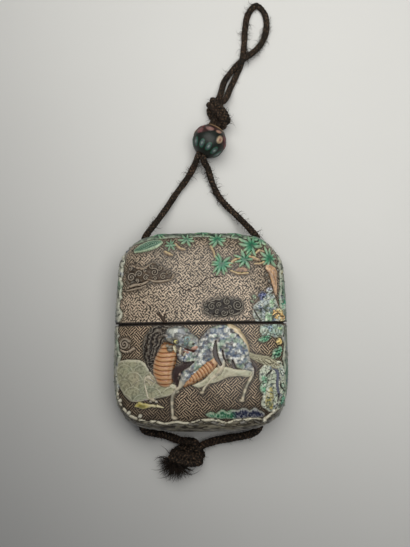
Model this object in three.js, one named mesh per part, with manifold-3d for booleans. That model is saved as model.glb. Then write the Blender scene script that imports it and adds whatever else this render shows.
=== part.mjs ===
// An inro, the small case that hung from a kimono sash: two porcelain sections with a fitted joint,
// carved in relief with a kirin among rocks, maple and clouds, and strung on one silk cord with a bead.
// Millimetres. The case lies on its back: +Z is out of its carved face, +Y runs to the hanging loop,
// and the origin is at the middle of the flat spot that it lies on.
import * as THREE from "three";
import { mergeVertices } from "three/addons/utils/BufferGeometryUtils.js";
import Module from "manifold-3d";

const wasm = await Module();
wasm.setup();

// The case: a flat box with rounded sides and ends, a little narrower at the top.
const HALF_WIDTH = 31.8;
const HALF_HEIGHT = 36;
const HALF_DEPTH = 11.4;
const MID_Z = 11; // the back bulges below the floor by the difference, and is ground flat there
const OUTLINE_POWER = 4.5; // squareness of the outline seen from the front
const SECTION_POWER = 2.8; // squareness of the cross-section
const TAPER = 0.026; // the share by which the top is narrower, and the bottom wider, than the middle
const WALL = 2.4;
const OUTER_AROUND = 28; // facets of the outside, round Y and along it
const OUTER_HIGH = 16;

// The joint between the lid and the lower case, which rises a little to the right.
const JOINT_Y = 2.6;
const JOINT_TURN = THREE.MathUtils.degToRad(0.9);
const JOINT_GAP = 0.5;
const COLLAR_HEIGHT = 7;
const COLLAR_WALL = 1.5;
const COLLAR_CLEARANCE = 0.35;

// The cord and the two channels that it runs through, inside the case.
const CORD = 2.4;
const CHANNEL_X = 21.4;
const CHANNEL_Z = 10.6;
const CHANNEL_RADIUS = 1.75;
const CHANNEL_WALL = 1.4;
const MOUTH_RADIUS = 2.9;
const MOUTH_DEPTH = 2.4;
const MOUTH_FACE = 34.6; // where the case's end wall is, above and below, at the channels

// The bead that slides on the two upper runs of the cord.
const BEAD_RADIUS = 6.6;
const BEAD_HALF_LENGTH = 6.1;
const BEAD_BORE = 2.9;
const BEAD_CENTRE = new THREE.Vector3(3.2, 74.4, BEAD_RADIUS);
const BEAD_LEAN = THREE.MathUtils.degToRad(28);

const signedPower = (value, power) => Math.sign(value) * Math.abs(value) ** power;

// Solids: geometry goes in, is joined and cut, and comes back out as a named mesh.
function solidOf(geometry) {
  const bare = geometry.clone();
  for (const name of ["normal", "uv"]) bare.deleteAttribute(name);
  const merged = mergeVertices(bare, 1e-4);
  const triangles = [];
  for (let i = 0; i < merged.index.count; i += 3) {
    const [a, b, c] = [0, 1, 2].map((k) => merged.index.getX(i + k));
    if (a !== b && b !== c && c !== a) triangles.push(a, b, c);
  }
  return new wasm.Manifold(
    new wasm.Mesh({
      numProp: 3,
      vertProperties: merged.attributes.position.array,
      triVerts: new Uint32Array(triangles),
    }),
  );
}

const joined = (solids) => solids.reduce((all, next) => all.add(next));

function meshOf(name, solid, material) {
  const mesh = solid.getMesh();
  const geometry = new THREE.BufferGeometry()
    .setAttribute("position", new THREE.BufferAttribute(mesh.vertProperties, 3))
    .setIndex(new THREE.BufferAttribute(mesh.triVerts, 1));
  geometry.computeVertexNormals();
  const made = new THREE.Mesh(geometry, material);
  made.name = name;
  return made;
}

// The case's rounded form, inset by a wall's thickness: a sphere squared up, with its poles on Y.
function caseForm(inset, around, high) {
  const geometry = new THREE.SphereGeometry(1, around, high);
  const places = geometry.attributes.position;
  const place = new THREE.Vector3();
  for (let i = 0; i < places.count; i++) {
    place.fromBufferAttribute(places, i);
    const y = (HALF_HEIGHT - inset) * signedPower(place.y, 2 / OUTLINE_POWER);
    const spread = Math.hypot(place.x, place.z) ** (2 / OUTLINE_POWER);
    const turn = Math.atan2(place.z, place.x);
    const width = (HALF_WIDTH - inset) * (1 - (TAPER * y) / HALF_HEIGHT) * spread;
    const depth = (HALF_DEPTH - inset) * spread;
    places.setXYZ(
      i,
      width * signedPower(Math.cos(turn), 2 / SECTION_POWER),
      y,
      MID_Z + depth * signedPower(Math.sin(turn), 2 / SECTION_POWER),
    );
  }
  return geometry;
}

// Height of the carved face's ground above the floor, at a place in the outline.
function groundZ(x, y) {
  const up = Math.min(Math.abs(y) / HALF_HEIGHT, 1);
  const spread = (1 - up ** OUTLINE_POWER) ** (1 / OUTLINE_POWER);
  const width = HALF_WIDTH * (1 - (TAPER * y) / HALF_HEIGHT) * spread;
  const across = Math.min(Math.abs(x) / Math.max(width, 1e-6), 1);
  return MID_Z + HALF_DEPTH * spread * (1 - across ** SECTION_POWER) ** (1 / SECTION_POWER);
}

function box(low, high) {
  const size = high.map((value, axis) => value - low[axis]);
  const centre = high.map((value, axis) => (value + low[axis]) / 2);
  return solidOf(new THREE.BoxGeometry(...size).translate(...centre));
}

// A block that holds everything between two distances from the joint, on its slightly turned plane.
function slabAlongJoint(from, to) {
  const reach = 60;
  const size = to - from;
  const geometry = new THREE.BoxGeometry(2 * reach, size, 2 * reach);
  geometry.translate(0, from + size / 2, 0).rotateZ(JOINT_TURN).translate(0, JOINT_Y, MID_Z);
  return solidOf(geometry);
}

// A rod along Y at a channel.
function rodAlongY(side, radius, from, to) {
  const geometry = new THREE.CylinderGeometry(radius, radius, to - from, 8);
  return solidOf(geometry.translate(side * CHANNEL_X, (from + to) / 2, CHANNEL_Z));
}

// Relief on the carved face. A limb is a tapering bar along a curve through [x, y, radius, lift], where lift is
// the height of its middle line over the ground. Its thickness out of the face is cut to the share "flat".
function limb(points, flat = 0.55, sides = 8, stepsPerSpan = 2, groove = 0) {
  const line = new THREE.CatmullRomCurve3(points.map(([x, y]) => new THREE.Vector3(x, y, 0)), false, "centripetal");
  const steps = (points.length - 1) * stepsPerSpan;
  const geometry = new THREE.CylinderGeometry(1, 1, 1, sides, steps);
  const places = geometry.attributes.position;
  const mix = (column, at) => {
    const span = Math.min(Math.floor(at), points.length - 2);
    return THREE.MathUtils.lerp(points[span][column] ?? 0, points[span + 1][column] ?? 0, at - span);
  };
  for (let i = 0; i < places.count; i++) {
    const along = THREE.MathUtils.clamp(0.5 - places.getY(i), 0, 1);
    const at = along * (points.length - 1);
    const ring = Math.round(along * steps);
    const centre = line.getPoint(along);
    const tangent = line.getTangent(along);
    const radius = mix(2, at) * (ring % 2 === 1 ? 1 - groove : 1);
    const side = places.getX(i) * radius;
    const rise = places.getZ(i) * radius * flat;
    const x = centre.x - tangent.y * side;
    const y = centre.y + tangent.x * side;
    places.setXYZ(i, x, y, groundZ(centre.x, centre.y) + mix(3, at) + rise);
  }
  return solidOf(geometry);
}

// A rounded lump: a rock, a hill or the end of a limb.
function lump(x, y, radius, height, stretch = 1, turn = 0, sides = 8) {
  const geometry = new THREE.SphereGeometry(1, sides, 5).rotateX(Math.PI / 2);
  geometry.scale(radius * stretch, radius, height).rotateZ(turn);
  return solidOf(geometry.translate(x, y, groundZ(x, y)));
}

// A spiral of raised bar, the curl that ends a cloud.
function curl(x, y, radius, bar, turns, start, hand) {
  const points = [];
  const count = Math.round(turns * 5);
  for (let i = 0; i <= count; i++) {
    const share = i / count;
    const angle = start + hand * share * turns * 2 * Math.PI;
    const reach = radius * (1 - 0.8 * share);
    points.push([x + reach * Math.cos(angle), y + reach * Math.sin(angle), bar * (1 - 0.3 * share), 0.35]);
  }
  return limb(points, 1, 4, 1);
}

// A flat-topped form that stands proud of the ground by the given rise, inside an outline seen from the front.
function raised(outline, rise) {
  const prism = new THREE.ExtrudeGeometry(new THREE.Shape(outline), { depth: MID_Z * 2, bevelEnabled: false });
  return solidOf(prism.translate(0, 0, MID_Z)).intersect(solidOf(caseForm(-rise, OUTER_AROUND, OUTER_HIGH)));
}

// A smooth closed outline through a few points.
function outlineThrough(points, steps = points.length + 2) {
  const line = new THREE.CatmullRomCurve3(points.map(([x, y]) => new THREE.Vector3(x, y, 0)), true, "centripetal");
  return Array.from({ length: steps }, (_, i) => {
    const { x, y } = line.getPoint(i / steps);
    return new THREE.Vector2(x, y);
  });
}

// A maple leaf: pointed lobes round a centre.
const LEAF_RISE = 1;
const LEAF_NOTCH = 0.42; // how near the centre the notches between the lobes come
function mapleLeaf(x, y, radius, degrees, lobes = 7) {
  const outline = Array.from({ length: 2 * lobes }, (_, i) => {
    const angle = THREE.MathUtils.degToRad(degrees) + (Math.PI * i) / lobes;
    const reach = radius * (i % 2 ? LEAF_NOTCH : 1);
    return new THREE.Vector2(x + reach * Math.cos(angle), y + reach * Math.sin(angle));
  });
  return raised(outline, LEAF_RISE);
}

// Maple leaves along the top, [x, y, radius, turn in degrees].
const LEAVES = [
  [-11, 31.2, 2.5, 80],
  [-5.2, 32.2, 2.7, 100],
  [5.6, 32.0, 3.1, 85],
  [7.3, 25.7, 3.9, 120],
  [17.8, 29.8, 3.5, 60],
  [15.2, 26.2, 2.8, 200],
  [24.4, 26.4, 3.2, 40],
];
const maple = () => LEAVES.map((leaf) => mapleLeaf(...leaf));

// The kirin, striding to the left with its head turned back over its shoulder.
const KIRIN = {
  torso: [[-5.7, -16.9, 2.3, 0.2], [-2.2, -13.2, 3.6, 0.3], [1.8, -8.8, 4.8, 0.3], [6.2, -4.8, 5.6, 0.3], [10.6, -4, 5.2, 0.3], [14, -7.2, 3.8, 0.2]],
  neck: [[-9.9, -6.5, 2.3, 0.6], [-11.5, -8.3, 3, 0.5], [-13.3, -11.5, 3.5, 0.4], [-14, -14.6, 3.7, 0.4], [-13.8, -17.8, 3.5, 0.3], [-12.8, -19.8, 3, 0.2]],
  nape: [[-8.6, -3.6, 2.6, 0.5], [-6, -8.4, 2.4, 0.5], [-2.6, -11.6, 2.8, 0.4]],
  head: [[-10.4, -1.8, 2.2, 0.9], [-8, -2.4, 3.2, 0.9], [-5.2, -3.7, 2.5, 0.9], [-2.8, -4.7, 1.8, 0.9], [-1, -5, 1.3, 0.8]],
  jaw: [[-6.6, -5.4, 1.4, 0.5], [-3.7, -6.9, 0.9, 0.5]],
  ear: [[-10.4, -0.9, 1.1, 0.8], [-13.2, -1.7, 0.6, 0.2]],
  mane: [[-14.8, -0.7, 2, 0], [-17.6, -4.7, 2.4, 0], [-18.6, -9.4, 2.1, 0], [-18.4, -14.1, 1.2, 0]],
  nearHindLeg: [[12.6, -7.3, 4.2, 0.5], [15.2, -11.4, 3, 0.5], [17.8, -13.6, 1.6, 0.5], [19.4, -15, 1.15, 0.5], [18.1, -18.8, 0.9, 0.5], [16.8, -22.5, 0.8, 0.5], [15.6, -25.4, 1, 0.4]],
  farHindLeg: [[7.3, -8.9, 2.8, 0], [6.8, -13, 1.9, 0.1], [6.4, -15.3, 1.3, 0.2], [3.7, -18.3, 0.9, 0.3], [1.3, -20.9, 0.75, 0.3], [0.4, -23, 0.95, 0.3]],
  nearForeleg: [[-5.5, -16.7, 2.1, 0.5], [-7.6, -19.6, 1.5, 0.5], [-9.7, -22.7, 0.95, 0.5], [-10.4, -26.7, 0.75, 0.5], [-10.7, -30, 0.7, 0.5], [-10.1, -32.4, 0.95, 0.4]],
  farForeleg: [[-11.5, -20.2, 1.8, 0.2], [-16.2, -18.8, 1.7, 0.2], [-20.2, -17.2, 1.3, 0.2], [-21.7, -18.6, 0.95, 0.3], [-20.7, -21.8, 0.75, 0.4], [-19.8, -24.6, 0.7, 0.4], [-18.4, -26, 1, 0.4]],
  tail: [[16.4, -6.6, 1.1, 0.3], [18.6, -10, 1.3, 0.3], [21.6, -11, 1.7, 0.2], [24.6, -11.8, 1.9, 0.2], [27.2, -14, 1.2, 0.1]],
};

function kirin() {
  const slim = ["ear", "jaw"];
  const parts = Object.entries(KIRIN)
    .filter(([name]) => name !== "neck")
    .map(([name, points]) => limb(points, name.toLowerCase().includes("leg") || slim.includes(name) ? 0.8 : 0.45, 6, 1));
  return [...parts, limb(KIRIN.neck, 0.6, 7, 3, 0.14)];
}

// Rocks and banks in two steps each, [outline, rise of the lower step].
const ROCKS = [
  [[[20.8, 6], [21.8, 10.5], [23.2, 15], [26, 14.4], [28.6, 10], [30, 4], [29.8, -2], [27.6, -5.6], [23.4, -4.4], [22, 1]], 0.8],
  [[[22.4, -15], [24, -12.6], [27.2, -14], [27.8, -20], [26.6, -27], [23, -27.6], [21.6, -22]], 0.8],
  [[[-30.2, -13.4], [-27.2, -11], [-22, -11.4], [-18.8, -15.8], [-11.6, -20.3], [-11.2, -23.3], [-19.6, -25.6], [-26.4, -26.2], [-29.4, -20.5]], 0.6],
  [[[4.4, -16.4], [9.5, -14.2], [14.9, -15], [18.6, -11.6], [22.4, -11.2], [20.6, -15.6], [14.4, -18], [8, -18.6]], 0.6],
];
const STEP = 0.7; // share of the outline's size and of the rise that the upper step adds
function stepped(points, rise) {
  const lower = outlineThrough(points);
  const centre = lower.reduce((sum, point) => sum.add(point), new THREE.Vector2()).divideScalar(lower.length);
  const upper = lower.map((point) => point.clone().lerp(centre, 1 - STEP));
  return [raised(lower, rise), raised(upper, rise * (1 + STEP))];
}
const rocks = () => ROCKS.flatMap(([points, rise]) => stepped(points, rise));
const bushes = () => [
  lump(27.8, -8.3, 1.9, 1.5),
  lump(27.8, 6.2, 2.1, 1.9),
  limb([[29.2, -10.5, 0.9, 0.1], [29.3, -16, 1.1, 0.1], [28.9, -22, 1.1, 0.1], [27.6, -27.6, 0.9, 0.1]], 0.9, 5, 1),
];

const trunk = () => limb([[25.8, 23, 1.9, 0.2], [26.7, 20, 1.3, 0.2], [27.4, 16.5, 0.9, 0.1], [27.6, 13.5, 0.8, 0]], 0.7, 6, 1);
const pineTuft = () => raised(outlineThrough([[-25.2, 29.2], [-21.4, 31.8], [-15.6, 33], [-15.2, 31.6], [-19, 28.8]]), 0.9);

// Clouds: a swelling body that ends in curls.
const clouds = () => [
  ...stepped([[0.2, 9.2], [3.6, 12], [8.4, 11.6], [12.6, 8.8], [14.2, 6.8], [9, 5.6], [3, 6]], 0.7),
  curl(13.7, 9.6, 2.1, 0.6, 1.3, 2.6, -1),
  curl(9.2, 11.1, 1.4, 0.5, 1.2, 0.4, 1),
  ...stepped([[-24.2, 22], [-20.5, 23.8], [-17.4, 25], [-13.6, 23.4], [-11, 21.2], [-14.5, 19.6], [-19.4, 19.8]], 0.7),
  curl(-24.4, 20, 1.7, 0.5, 1.2, 0.5, 1),
  limb([[-27, 16.6, 0.7], [-22, 17.6, 0.8], [-17.5, 18.2, 0.8], [-12, 19.8, 0.6]], 0.9, 5, 1),
  curl(-28.4, -4.9, 1.6, 0.5, 1.2, -1.2, 1),
];
const grass = () => stepped([[3.4, -30.8], [7, -29.4], [12.6, -29.6], [18, -28.6], [21.2, -30], [17, -31.6], [9, -32]], 0.7);

// A raised border that follows the outline, set in from it, between two turns of the outline.
function border(setIn, radius, from, to, count) {
  const points = [];
  for (let i = 0; i <= count; i++) {
    const turn = THREE.MathUtils.degToRad(from + ((to - from) * i) / count);
    const y = (HALF_HEIGHT - setIn) * signedPower(Math.sin(turn), 2 / OUTLINE_POWER);
    const width = (HALF_WIDTH - setIn) * (1 - (TAPER * y) / HALF_HEIGHT);
    const x = width * signedPower(Math.cos(turn), 2 / OUTLINE_POWER);
    points.push([x, y, radius * (i % 2 ? 1.15 : 0.9), 0]);
  }
  return limb(points, 0.9, 5, 1);
}
const sideFoliage = () => [border(1.9, 1, 128, 178, 6), border(1.9, 1, 182, 226, 6)];
const footWaves = () => border(1.7, 0.9, 232, 308, 10);

// The case. Both sections share one outer form, one hollow and two channels, and part at the joint.
const HUGE = 80;
const outerForm = () => solidOf(caseForm(0, OUTER_AROUND, OUTER_HIGH));
const hollowForm = (inset) => solidOf(caseForm(inset, 16, 10));
const aboveFloor = () => box([-HUGE, -HUGE, 0], [HUGE, HUGE, HUGE]);
const channelTube = (side) => rodAlongY(side, CHANNEL_RADIUS + CHANNEL_WALL, -HALF_HEIGHT + 1.5, HALF_HEIGHT - 1.5);
const channelBore = (side) => rodAlongY(side, CHANNEL_RADIUS, -HALF_HEIGHT - 5, HALF_HEIGHT + 5);

// The mouth of a channel, opened out where the cord bends over its edge.
function channelMouth(side, end) {
  const geometry = new THREE.CylinderGeometry(MOUTH_RADIUS, CHANNEL_RADIUS, MOUTH_DEPTH, 8);
  geometry.translate(0, MOUTH_FACE - MOUTH_DEPTH / 2 + 0.6, 0).rotateZ(end > 0 ? 0 : Math.PI);
  return solidOf(geometry.translate(side * CHANNEL_X, 0, CHANNEL_Z));
}

function section(from, to, relief, collar) {
  const span = slabAlongJoint(from, to);
  const carved = joined([outerForm(), ...relief]).intersect(aboveFloor()).intersect(span);
  const tubes = joined([-1, 1].map((side) => channelTube(side).intersect(span).intersect(hollowForm(WALL - 0.6))));
  const shell = carved.subtract(hollowForm(WALL)).add(tubes);
  const withCollar = collar ? shell.add(collar) : shell;
  const mouths = [-1, 1].flatMap((side) => [-1, 1].map((end) => channelMouth(side, end)));
  return withCollar.subtract(joined([channelBore(-1), channelBore(1), ...mouths]));
}

// The lower case's collar stands up inside the lid, a sliding fit, and clears the lid's cord channels.
function collar() {
  const outside = hollowForm(WALL + COLLAR_CLEARANCE);
  const ring = outside.subtract(hollowForm(WALL + COLLAR_CLEARANCE + COLLAR_WALL));
  const tall = ring.intersect(slabAlongJoint(-3, COLLAR_HEIGHT));
  const root = hollowForm(WALL - 0.6)
    .subtract(hollowForm(WALL + COLLAR_CLEARANCE + COLLAR_WALL))
    .intersect(slabAlongJoint(-3, -1.2));
  return tall.add(root);
}

const porcelain = new THREE.MeshStandardMaterial({ color: 0xa89784, roughness: 0.45, metalness: 0 });
const lid = section(JOINT_GAP / 2, HUGE, [...maple(), ...rocks(), ...bushes(), trunk(), pineTuft(), ...clouds(), ...sideFoliage()]);
const lowerCase = section(
  -HUGE,
  -JOINT_GAP / 2,
  [...kirin(), ...rocks(), ...bushes(), ...clouds(), ...grass(), footWaves(), ...sideFoliage()],
  collar(),
);

// The bead: a ball with flattened ends and a bore for the two runs of cord.
function bead() {
  const profile = [];
  const steps = 7;
  const end = Math.asin(BEAD_HALF_LENGTH / BEAD_RADIUS) * 0.93;
  for (let i = 0; i <= steps; i++) {
    const turn = -end + (2 * end * i) / steps;
    profile.push(new THREE.Vector2(BEAD_RADIUS * Math.cos(turn), BEAD_RADIUS * Math.sin(turn)));
  }
  const reach = profile[steps].y;
  profile.push(new THREE.Vector2(BEAD_BORE, reach), new THREE.Vector2(BEAD_BORE, -reach), profile[0].clone());
  const geometry = new THREE.LatheGeometry(profile, 16);
  return solidOf(geometry.rotateZ(-BEAD_LEAN).translate(...BEAD_CENTRE.toArray()));
}

// The cord: one silk braid. From the left channel it runs through the bead and the upper knot, round the
// hanging loop and back to the right channel, and its two ends are tied in a knot below the case.
const alongBead = (along, across) =>
  new THREE.Vector3(across, along, 0).applyAxisAngle(new THREE.Vector3(0, 0, 1), -BEAD_LEAN).add(BEAD_CENTRE);
const PAIR = 1.2; // half the distance between the two runs in the bead
const BEAD_EXIT = BEAD_HALF_LENGTH + 1; // how far from its middle they stay side by side

const upperRoute = [
  new THREE.Vector3(-CHANNEL_X, 30, CHANNEL_Z),
  new THREE.Vector3(-CHANNEL_X, 34.5, CHANNEL_Z),
  new THREE.Vector3(-20.2, 37.6, 9.4),
  new THREE.Vector3(-16.3, 44, 5.2),
  new THREE.Vector3(-13.1, 49.3, 3),
  new THREE.Vector3(-9.6, 55, 2.2),
  new THREE.Vector3(-6, 59.8, 2.6),
  new THREE.Vector3(-2.9, 64.8, 4.4),
  alongBead(-BEAD_EXIT, -PAIR),
  alongBead(0, -PAIR),
  alongBead(BEAD_EXIT, -PAIR),
  new THREE.Vector3(8.4, 87.5, 4.6),
  new THREE.Vector3(9.6, 94, 2.4),
  new THREE.Vector3(12.1, 99.4, 1.4),
  new THREE.Vector3(14.8, 104.6, 1.2),
  new THREE.Vector3(16.6, 110, 1.2),
  new THREE.Vector3(17.5, 116.4, 1.2),
  new THREE.Vector3(17.9, 123.3, 1.2),
  new THREE.Vector3(19.2, 130, 1.2),
  new THREE.Vector3(22.6, 133.6, 1.2),
  new THREE.Vector3(25.9, 130.6, 1.2),
  new THREE.Vector3(26.9, 125, 1.2),
  new THREE.Vector3(25.4, 118.6, 1.4),
  new THREE.Vector3(21.5, 113.4, 2.6),
  new THREE.Vector3(17, 109.4, 3.5),
  new THREE.Vector3(12.9, 105.6, 2.4),
  new THREE.Vector3(9.4, 100.6, 1.4),
  new THREE.Vector3(6.8, 94.7, 2.2),
  new THREE.Vector3(7, 87.5, 4.6),
  alongBead(BEAD_EXIT, PAIR),
  alongBead(0, PAIR),
  alongBead(-BEAD_EXIT, PAIR),
  new THREE.Vector3(2.7, 63.9, 4.2),
  new THREE.Vector3(4.3, 59, 2.5),
  new THREE.Vector3(6.3, 54.5, 2.1),
  new THREE.Vector3(9, 50.5, 2.8),
  new THREE.Vector3(12.6, 46.5, 4.2),
  new THREE.Vector3(16.2, 42.4, 6.2),
  new THREE.Vector3(19.6, 38, 9),
  new THREE.Vector3(CHANNEL_X, 34.5, CHANNEL_Z),
  new THREE.Vector3(CHANNEL_X, 30, CHANNEL_Z),
];
const lowerLeftRoute = [
  new THREE.Vector3(-CHANNEL_X, -30, CHANNEL_Z),
  new THREE.Vector3(-CHANNEL_X, -34.6, CHANNEL_Z - 0.2),
  new THREE.Vector3(-20.3, -37, 8.4),
  new THREE.Vector3(-16.8, -38.3, 5.6),
  new THREE.Vector3(-12.4, -39.6, 3.6),
  new THREE.Vector3(-8, -41.2, 2.8),
  new THREE.Vector3(-4.6, -44.2, 3),
];
const lowerRightRoute = [
  new THREE.Vector3(CHANNEL_X, -30, CHANNEL_Z),
  new THREE.Vector3(CHANNEL_X, -34.6, CHANNEL_Z - 0.2),
  new THREE.Vector3(20, -37.4, 8),
  new THREE.Vector3(16.4, -39.2, 5),
  new THREE.Vector3(11.2, -40.3, 3.2),
  new THREE.Vector3(4.6, -41.8, 2.8),
  new THREE.Vector3(-1, -44.6, 3.2),
];

function cordAlong(route, steps) {
  const section = new THREE.Shape(
    Array.from({ length: 8 }, (_, i) => {
      const turn = (Math.PI * (2 * i + 1)) / 8;
      return new THREE.Vector2((CORD / 2) * Math.cos(turn), (CORD / 2) * Math.sin(turn));
    }),
  );
  const path = new THREE.CatmullRomCurve3(route, false, "centripetal");
  return solidOf(new THREE.ExtrudeGeometry(section, { steps, extrudePath: path, bevelEnabled: false }));
}

function ball(centre, radii, turn = 0) {
  const geometry = new THREE.SphereGeometry(1, 8, 5).scale(...radii).rotateZ(turn);
  return solidOf(geometry.translate(...centre));
}

const knots = () => [
  // the upper knot, an overhand of both runs, on top of the bead
  ball([8.9, 85.6, 4], [2.7, 4.6, 3.4], 0.35),
  ball([6.1, 85.9, 3.9], [2.6, 3.2, 3.2], -0.4),
  ball([4.1, 89.2, 3.1], [2.1, 2.9, 2.5], -0.3),
  // the lower knot of the two ends
  ball([-3.6, -46.4, 3.6], [4.4, 3.8, 3.4], -0.3),
  ball([1.4, -47.4, 3.3], [2.5, 3.7, 3.1], 0.3),
];

// The two cut ends below the lower knot have frayed into one flat brush.
function brush() {
  const geometry = new THREE.CylinderGeometry(1, 1, 1, 8, 2);
  const places = geometry.attributes.position;
  const [root, tip] = [new THREE.Vector3(-4.4, -47.6, 3.1), new THREE.Vector3(-9.4, -54.6, 1.6)];
  const across = new THREE.Vector3().subVectors(tip, root).setZ(0).normalize().applyAxisAngle(new THREE.Vector3(0, 0, 1), Math.PI / 2);
  for (let i = 0; i < places.count; i++) {
    const share = 0.5 - places.getY(i);
    const centre = new THREE.Vector3().lerpVectors(root, tip, share);
    const width = THREE.MathUtils.lerp(3.2, 5.6, share);
    const height = THREE.MathUtils.lerp(2.7, 1.3, share);
    centre.addScaledVector(across, places.getX(i) * width);
    places.setXYZ(i, centre.x, centre.y, centre.z + places.getZ(i) * height);
  }
  return solidOf(geometry);
}

function cord() {
  const runs = [-1, 1].map((side) => {
    const geometry = new THREE.CylinderGeometry(CORD / 2, CORD / 2, 61, 8);
    return solidOf(geometry.translate(side * CHANNEL_X, 0, CHANNEL_Z));
  });
  return joined([
    cordAlong(upperRoute, 42),
    ...runs,
    cordAlong(lowerLeftRoute, 6),
    cordAlong(lowerRightRoute, 6),
    ...knots(),
    brush(),
  ]);
}

const enamel = new THREE.MeshStandardMaterial({ color: 0x23201f, roughness: 0.3, metalness: 0 });
const silk = new THREE.MeshStandardMaterial({ color: 0x33261b, roughness: 0.85, metalness: 0 });

const inro = new THREE.Group();
inro.add(
  meshOf("lid", lid, porcelain),
  meshOf("lower_case", lowerCase, porcelain),
  meshOf("ojime_bead", bead(), enamel),
  meshOf("cord", cord(), silk),
);

export default inro;
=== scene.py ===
import math

import bpy
import numpy as np
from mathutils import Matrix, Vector
from mathutils.kdtree import KDTree


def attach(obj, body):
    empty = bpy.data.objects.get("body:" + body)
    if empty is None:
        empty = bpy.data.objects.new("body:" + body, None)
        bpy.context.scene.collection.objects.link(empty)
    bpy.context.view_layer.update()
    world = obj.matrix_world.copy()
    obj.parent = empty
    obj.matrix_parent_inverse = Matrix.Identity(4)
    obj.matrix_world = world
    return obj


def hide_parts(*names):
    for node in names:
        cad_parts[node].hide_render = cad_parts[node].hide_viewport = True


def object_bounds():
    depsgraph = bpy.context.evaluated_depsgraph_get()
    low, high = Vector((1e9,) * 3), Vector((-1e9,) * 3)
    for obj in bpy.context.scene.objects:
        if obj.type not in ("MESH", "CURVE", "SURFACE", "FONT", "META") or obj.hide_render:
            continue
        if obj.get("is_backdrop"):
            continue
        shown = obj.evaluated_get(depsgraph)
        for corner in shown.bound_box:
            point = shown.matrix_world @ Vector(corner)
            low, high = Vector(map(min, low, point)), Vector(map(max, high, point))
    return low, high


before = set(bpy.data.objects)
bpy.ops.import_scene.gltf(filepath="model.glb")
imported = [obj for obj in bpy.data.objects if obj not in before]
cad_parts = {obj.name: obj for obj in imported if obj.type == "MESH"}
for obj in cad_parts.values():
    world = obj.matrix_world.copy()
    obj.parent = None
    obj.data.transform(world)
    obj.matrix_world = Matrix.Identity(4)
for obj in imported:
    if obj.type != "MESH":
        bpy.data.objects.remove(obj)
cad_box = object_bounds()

# ---------------------------------------------------------------------------------------------
# The studio: a pale table top under one soft lamp that leans away to the upper right, with a weak
# fill from the other side, seen by a camera that looks almost straight down on the case.
MM = 0.001  # a millimetre in the scene's metres
scene = bpy.context.scene
scene.view_settings.view_transform = "Standard"

camera = bpy.data.objects.new("camera", bpy.data.cameras.new("camera"))
camera.location = (0.00149, -0.00237, 0.2392)
camera.rotation_euler = (math.radians(6), 0, 0)
camera.data.lens = 40
camera.data.clip_start = 0.005
scene.collection.objects.link(camera)
scene.camera = camera


def lamp(name, place, aim, size, power, colour):
    """A square soft lamp at a place, turned to face a point."""
    light = bpy.data.objects.new(name, bpy.data.lights.new(name, "AREA"))
    light.data.size = size
    light.data.energy = power
    light.data.color = colour
    light.location = place
    light.rotation_euler = (Vector(aim) - Vector(place)).to_track_quat("-Z", "Y").to_euler()
    scene.collection.objects.link(light)


lamp("window", (0.05, 0.13, 0.28), (0.205, 0.265, 0), 0.34, 1.36, (1.0, 0.995, 0.965))
lamp("fill", (-0.30, -0.35, 0.50), (0, 0, 0), 0.50, 0.21, (0.95, 0.96, 1.0))
world = bpy.data.worlds.new("room")
world.use_nodes = True
world.node_tree.nodes["Background"].inputs["Color"].default_value = (0.9, 0.92, 1.0, 1)
world.node_tree.nodes["Background"].inputs["Strength"].default_value = 0.09
scene.world = world


def feed(tree, node, inputs):
    """Sets a node's inputs, each given as a value or as a socket to link from."""
    for key, value in inputs.items():
        socket = node.inputs[key]
        if isinstance(value, bpy.types.NodeSocket):
            tree.links.new(value, socket)
        else:
            socket.default_value = value


def add(tree, kind, inputs=None, **settings):
    """A new node of a tree, with its inputs and its settings."""
    node = tree.nodes.new(kind)
    for key, value in settings.items():
        setattr(node, key, value)
    feed(tree, node, inputs or {})
    return node


def noise(tree, vector, scale, detail, roughness=0.5):
    """A noise texture node."""
    inputs = {"Vector": vector, "Scale": scale, "Detail": detail, "Roughness": roughness}
    return add(tree, "ShaderNodeTexNoise", inputs)


def mixed(tree, share, one, other):
    """The output that turns one colour to another by a share."""
    node = add(tree, "ShaderNodeMix", {"Factor": share}, data_type="RGBA")
    feed(tree, node, {"A": one, "B": other})
    return node.outputs["Result"]


def surface(tree, shader, colour, height=None, strength=0.0, depth=0.0):
    """Gives a shader its colour, and a bump from a height, of a strength and a depth in metres."""
    feed(tree, shader, {"Base Color": colour})
    if height is not None:
        bump = add(tree, "ShaderNodeBump", {"Height": height, "Strength": strength, "Distance": depth})
        feed(tree, shader, {"Normal": bump.outputs["Normal"]})


def blank_material(name, **shader):
    """A material with one Principled shader, set by socket names with _ for spaces."""
    material = bpy.data.materials.new(name)
    material.use_nodes = True
    tree = material.node_tree
    node = tree.nodes["Principled BSDF"]
    feed(tree, node, {key.replace("_", " "): value for key, value in shader.items()})
    return material, tree, node


def object_place(tree, scale=1.0):
    """Object coordinates in millimetres, or in units of the given number of millimetres."""
    coordinates = add(tree, "ShaderNodeTexCoord")
    inputs = {"Vector": coordinates.outputs["Object"], "Scale": [1 / (MM * scale)] * 3}
    return add(tree, "ShaderNodeMapping", inputs).outputs["Vector"]


def piece_from(name, points, faces, materials, smooth=True):
    """A mesh piece from points in millimetres."""
    mesh = bpy.data.meshes.new(name)
    mesh.from_pydata(np.asarray(points, dtype=float) * MM, [], [list(map(int, face)) for face in faces])
    mesh.polygons.foreach_set("use_smooth", [smooth] * len(mesh.polygons))
    for material in materials:
        mesh.materials.append(material)
    mesh.update()
    piece = bpy.data.objects.new(name, mesh)
    scene.collection.objects.link(piece)
    return piece


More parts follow.
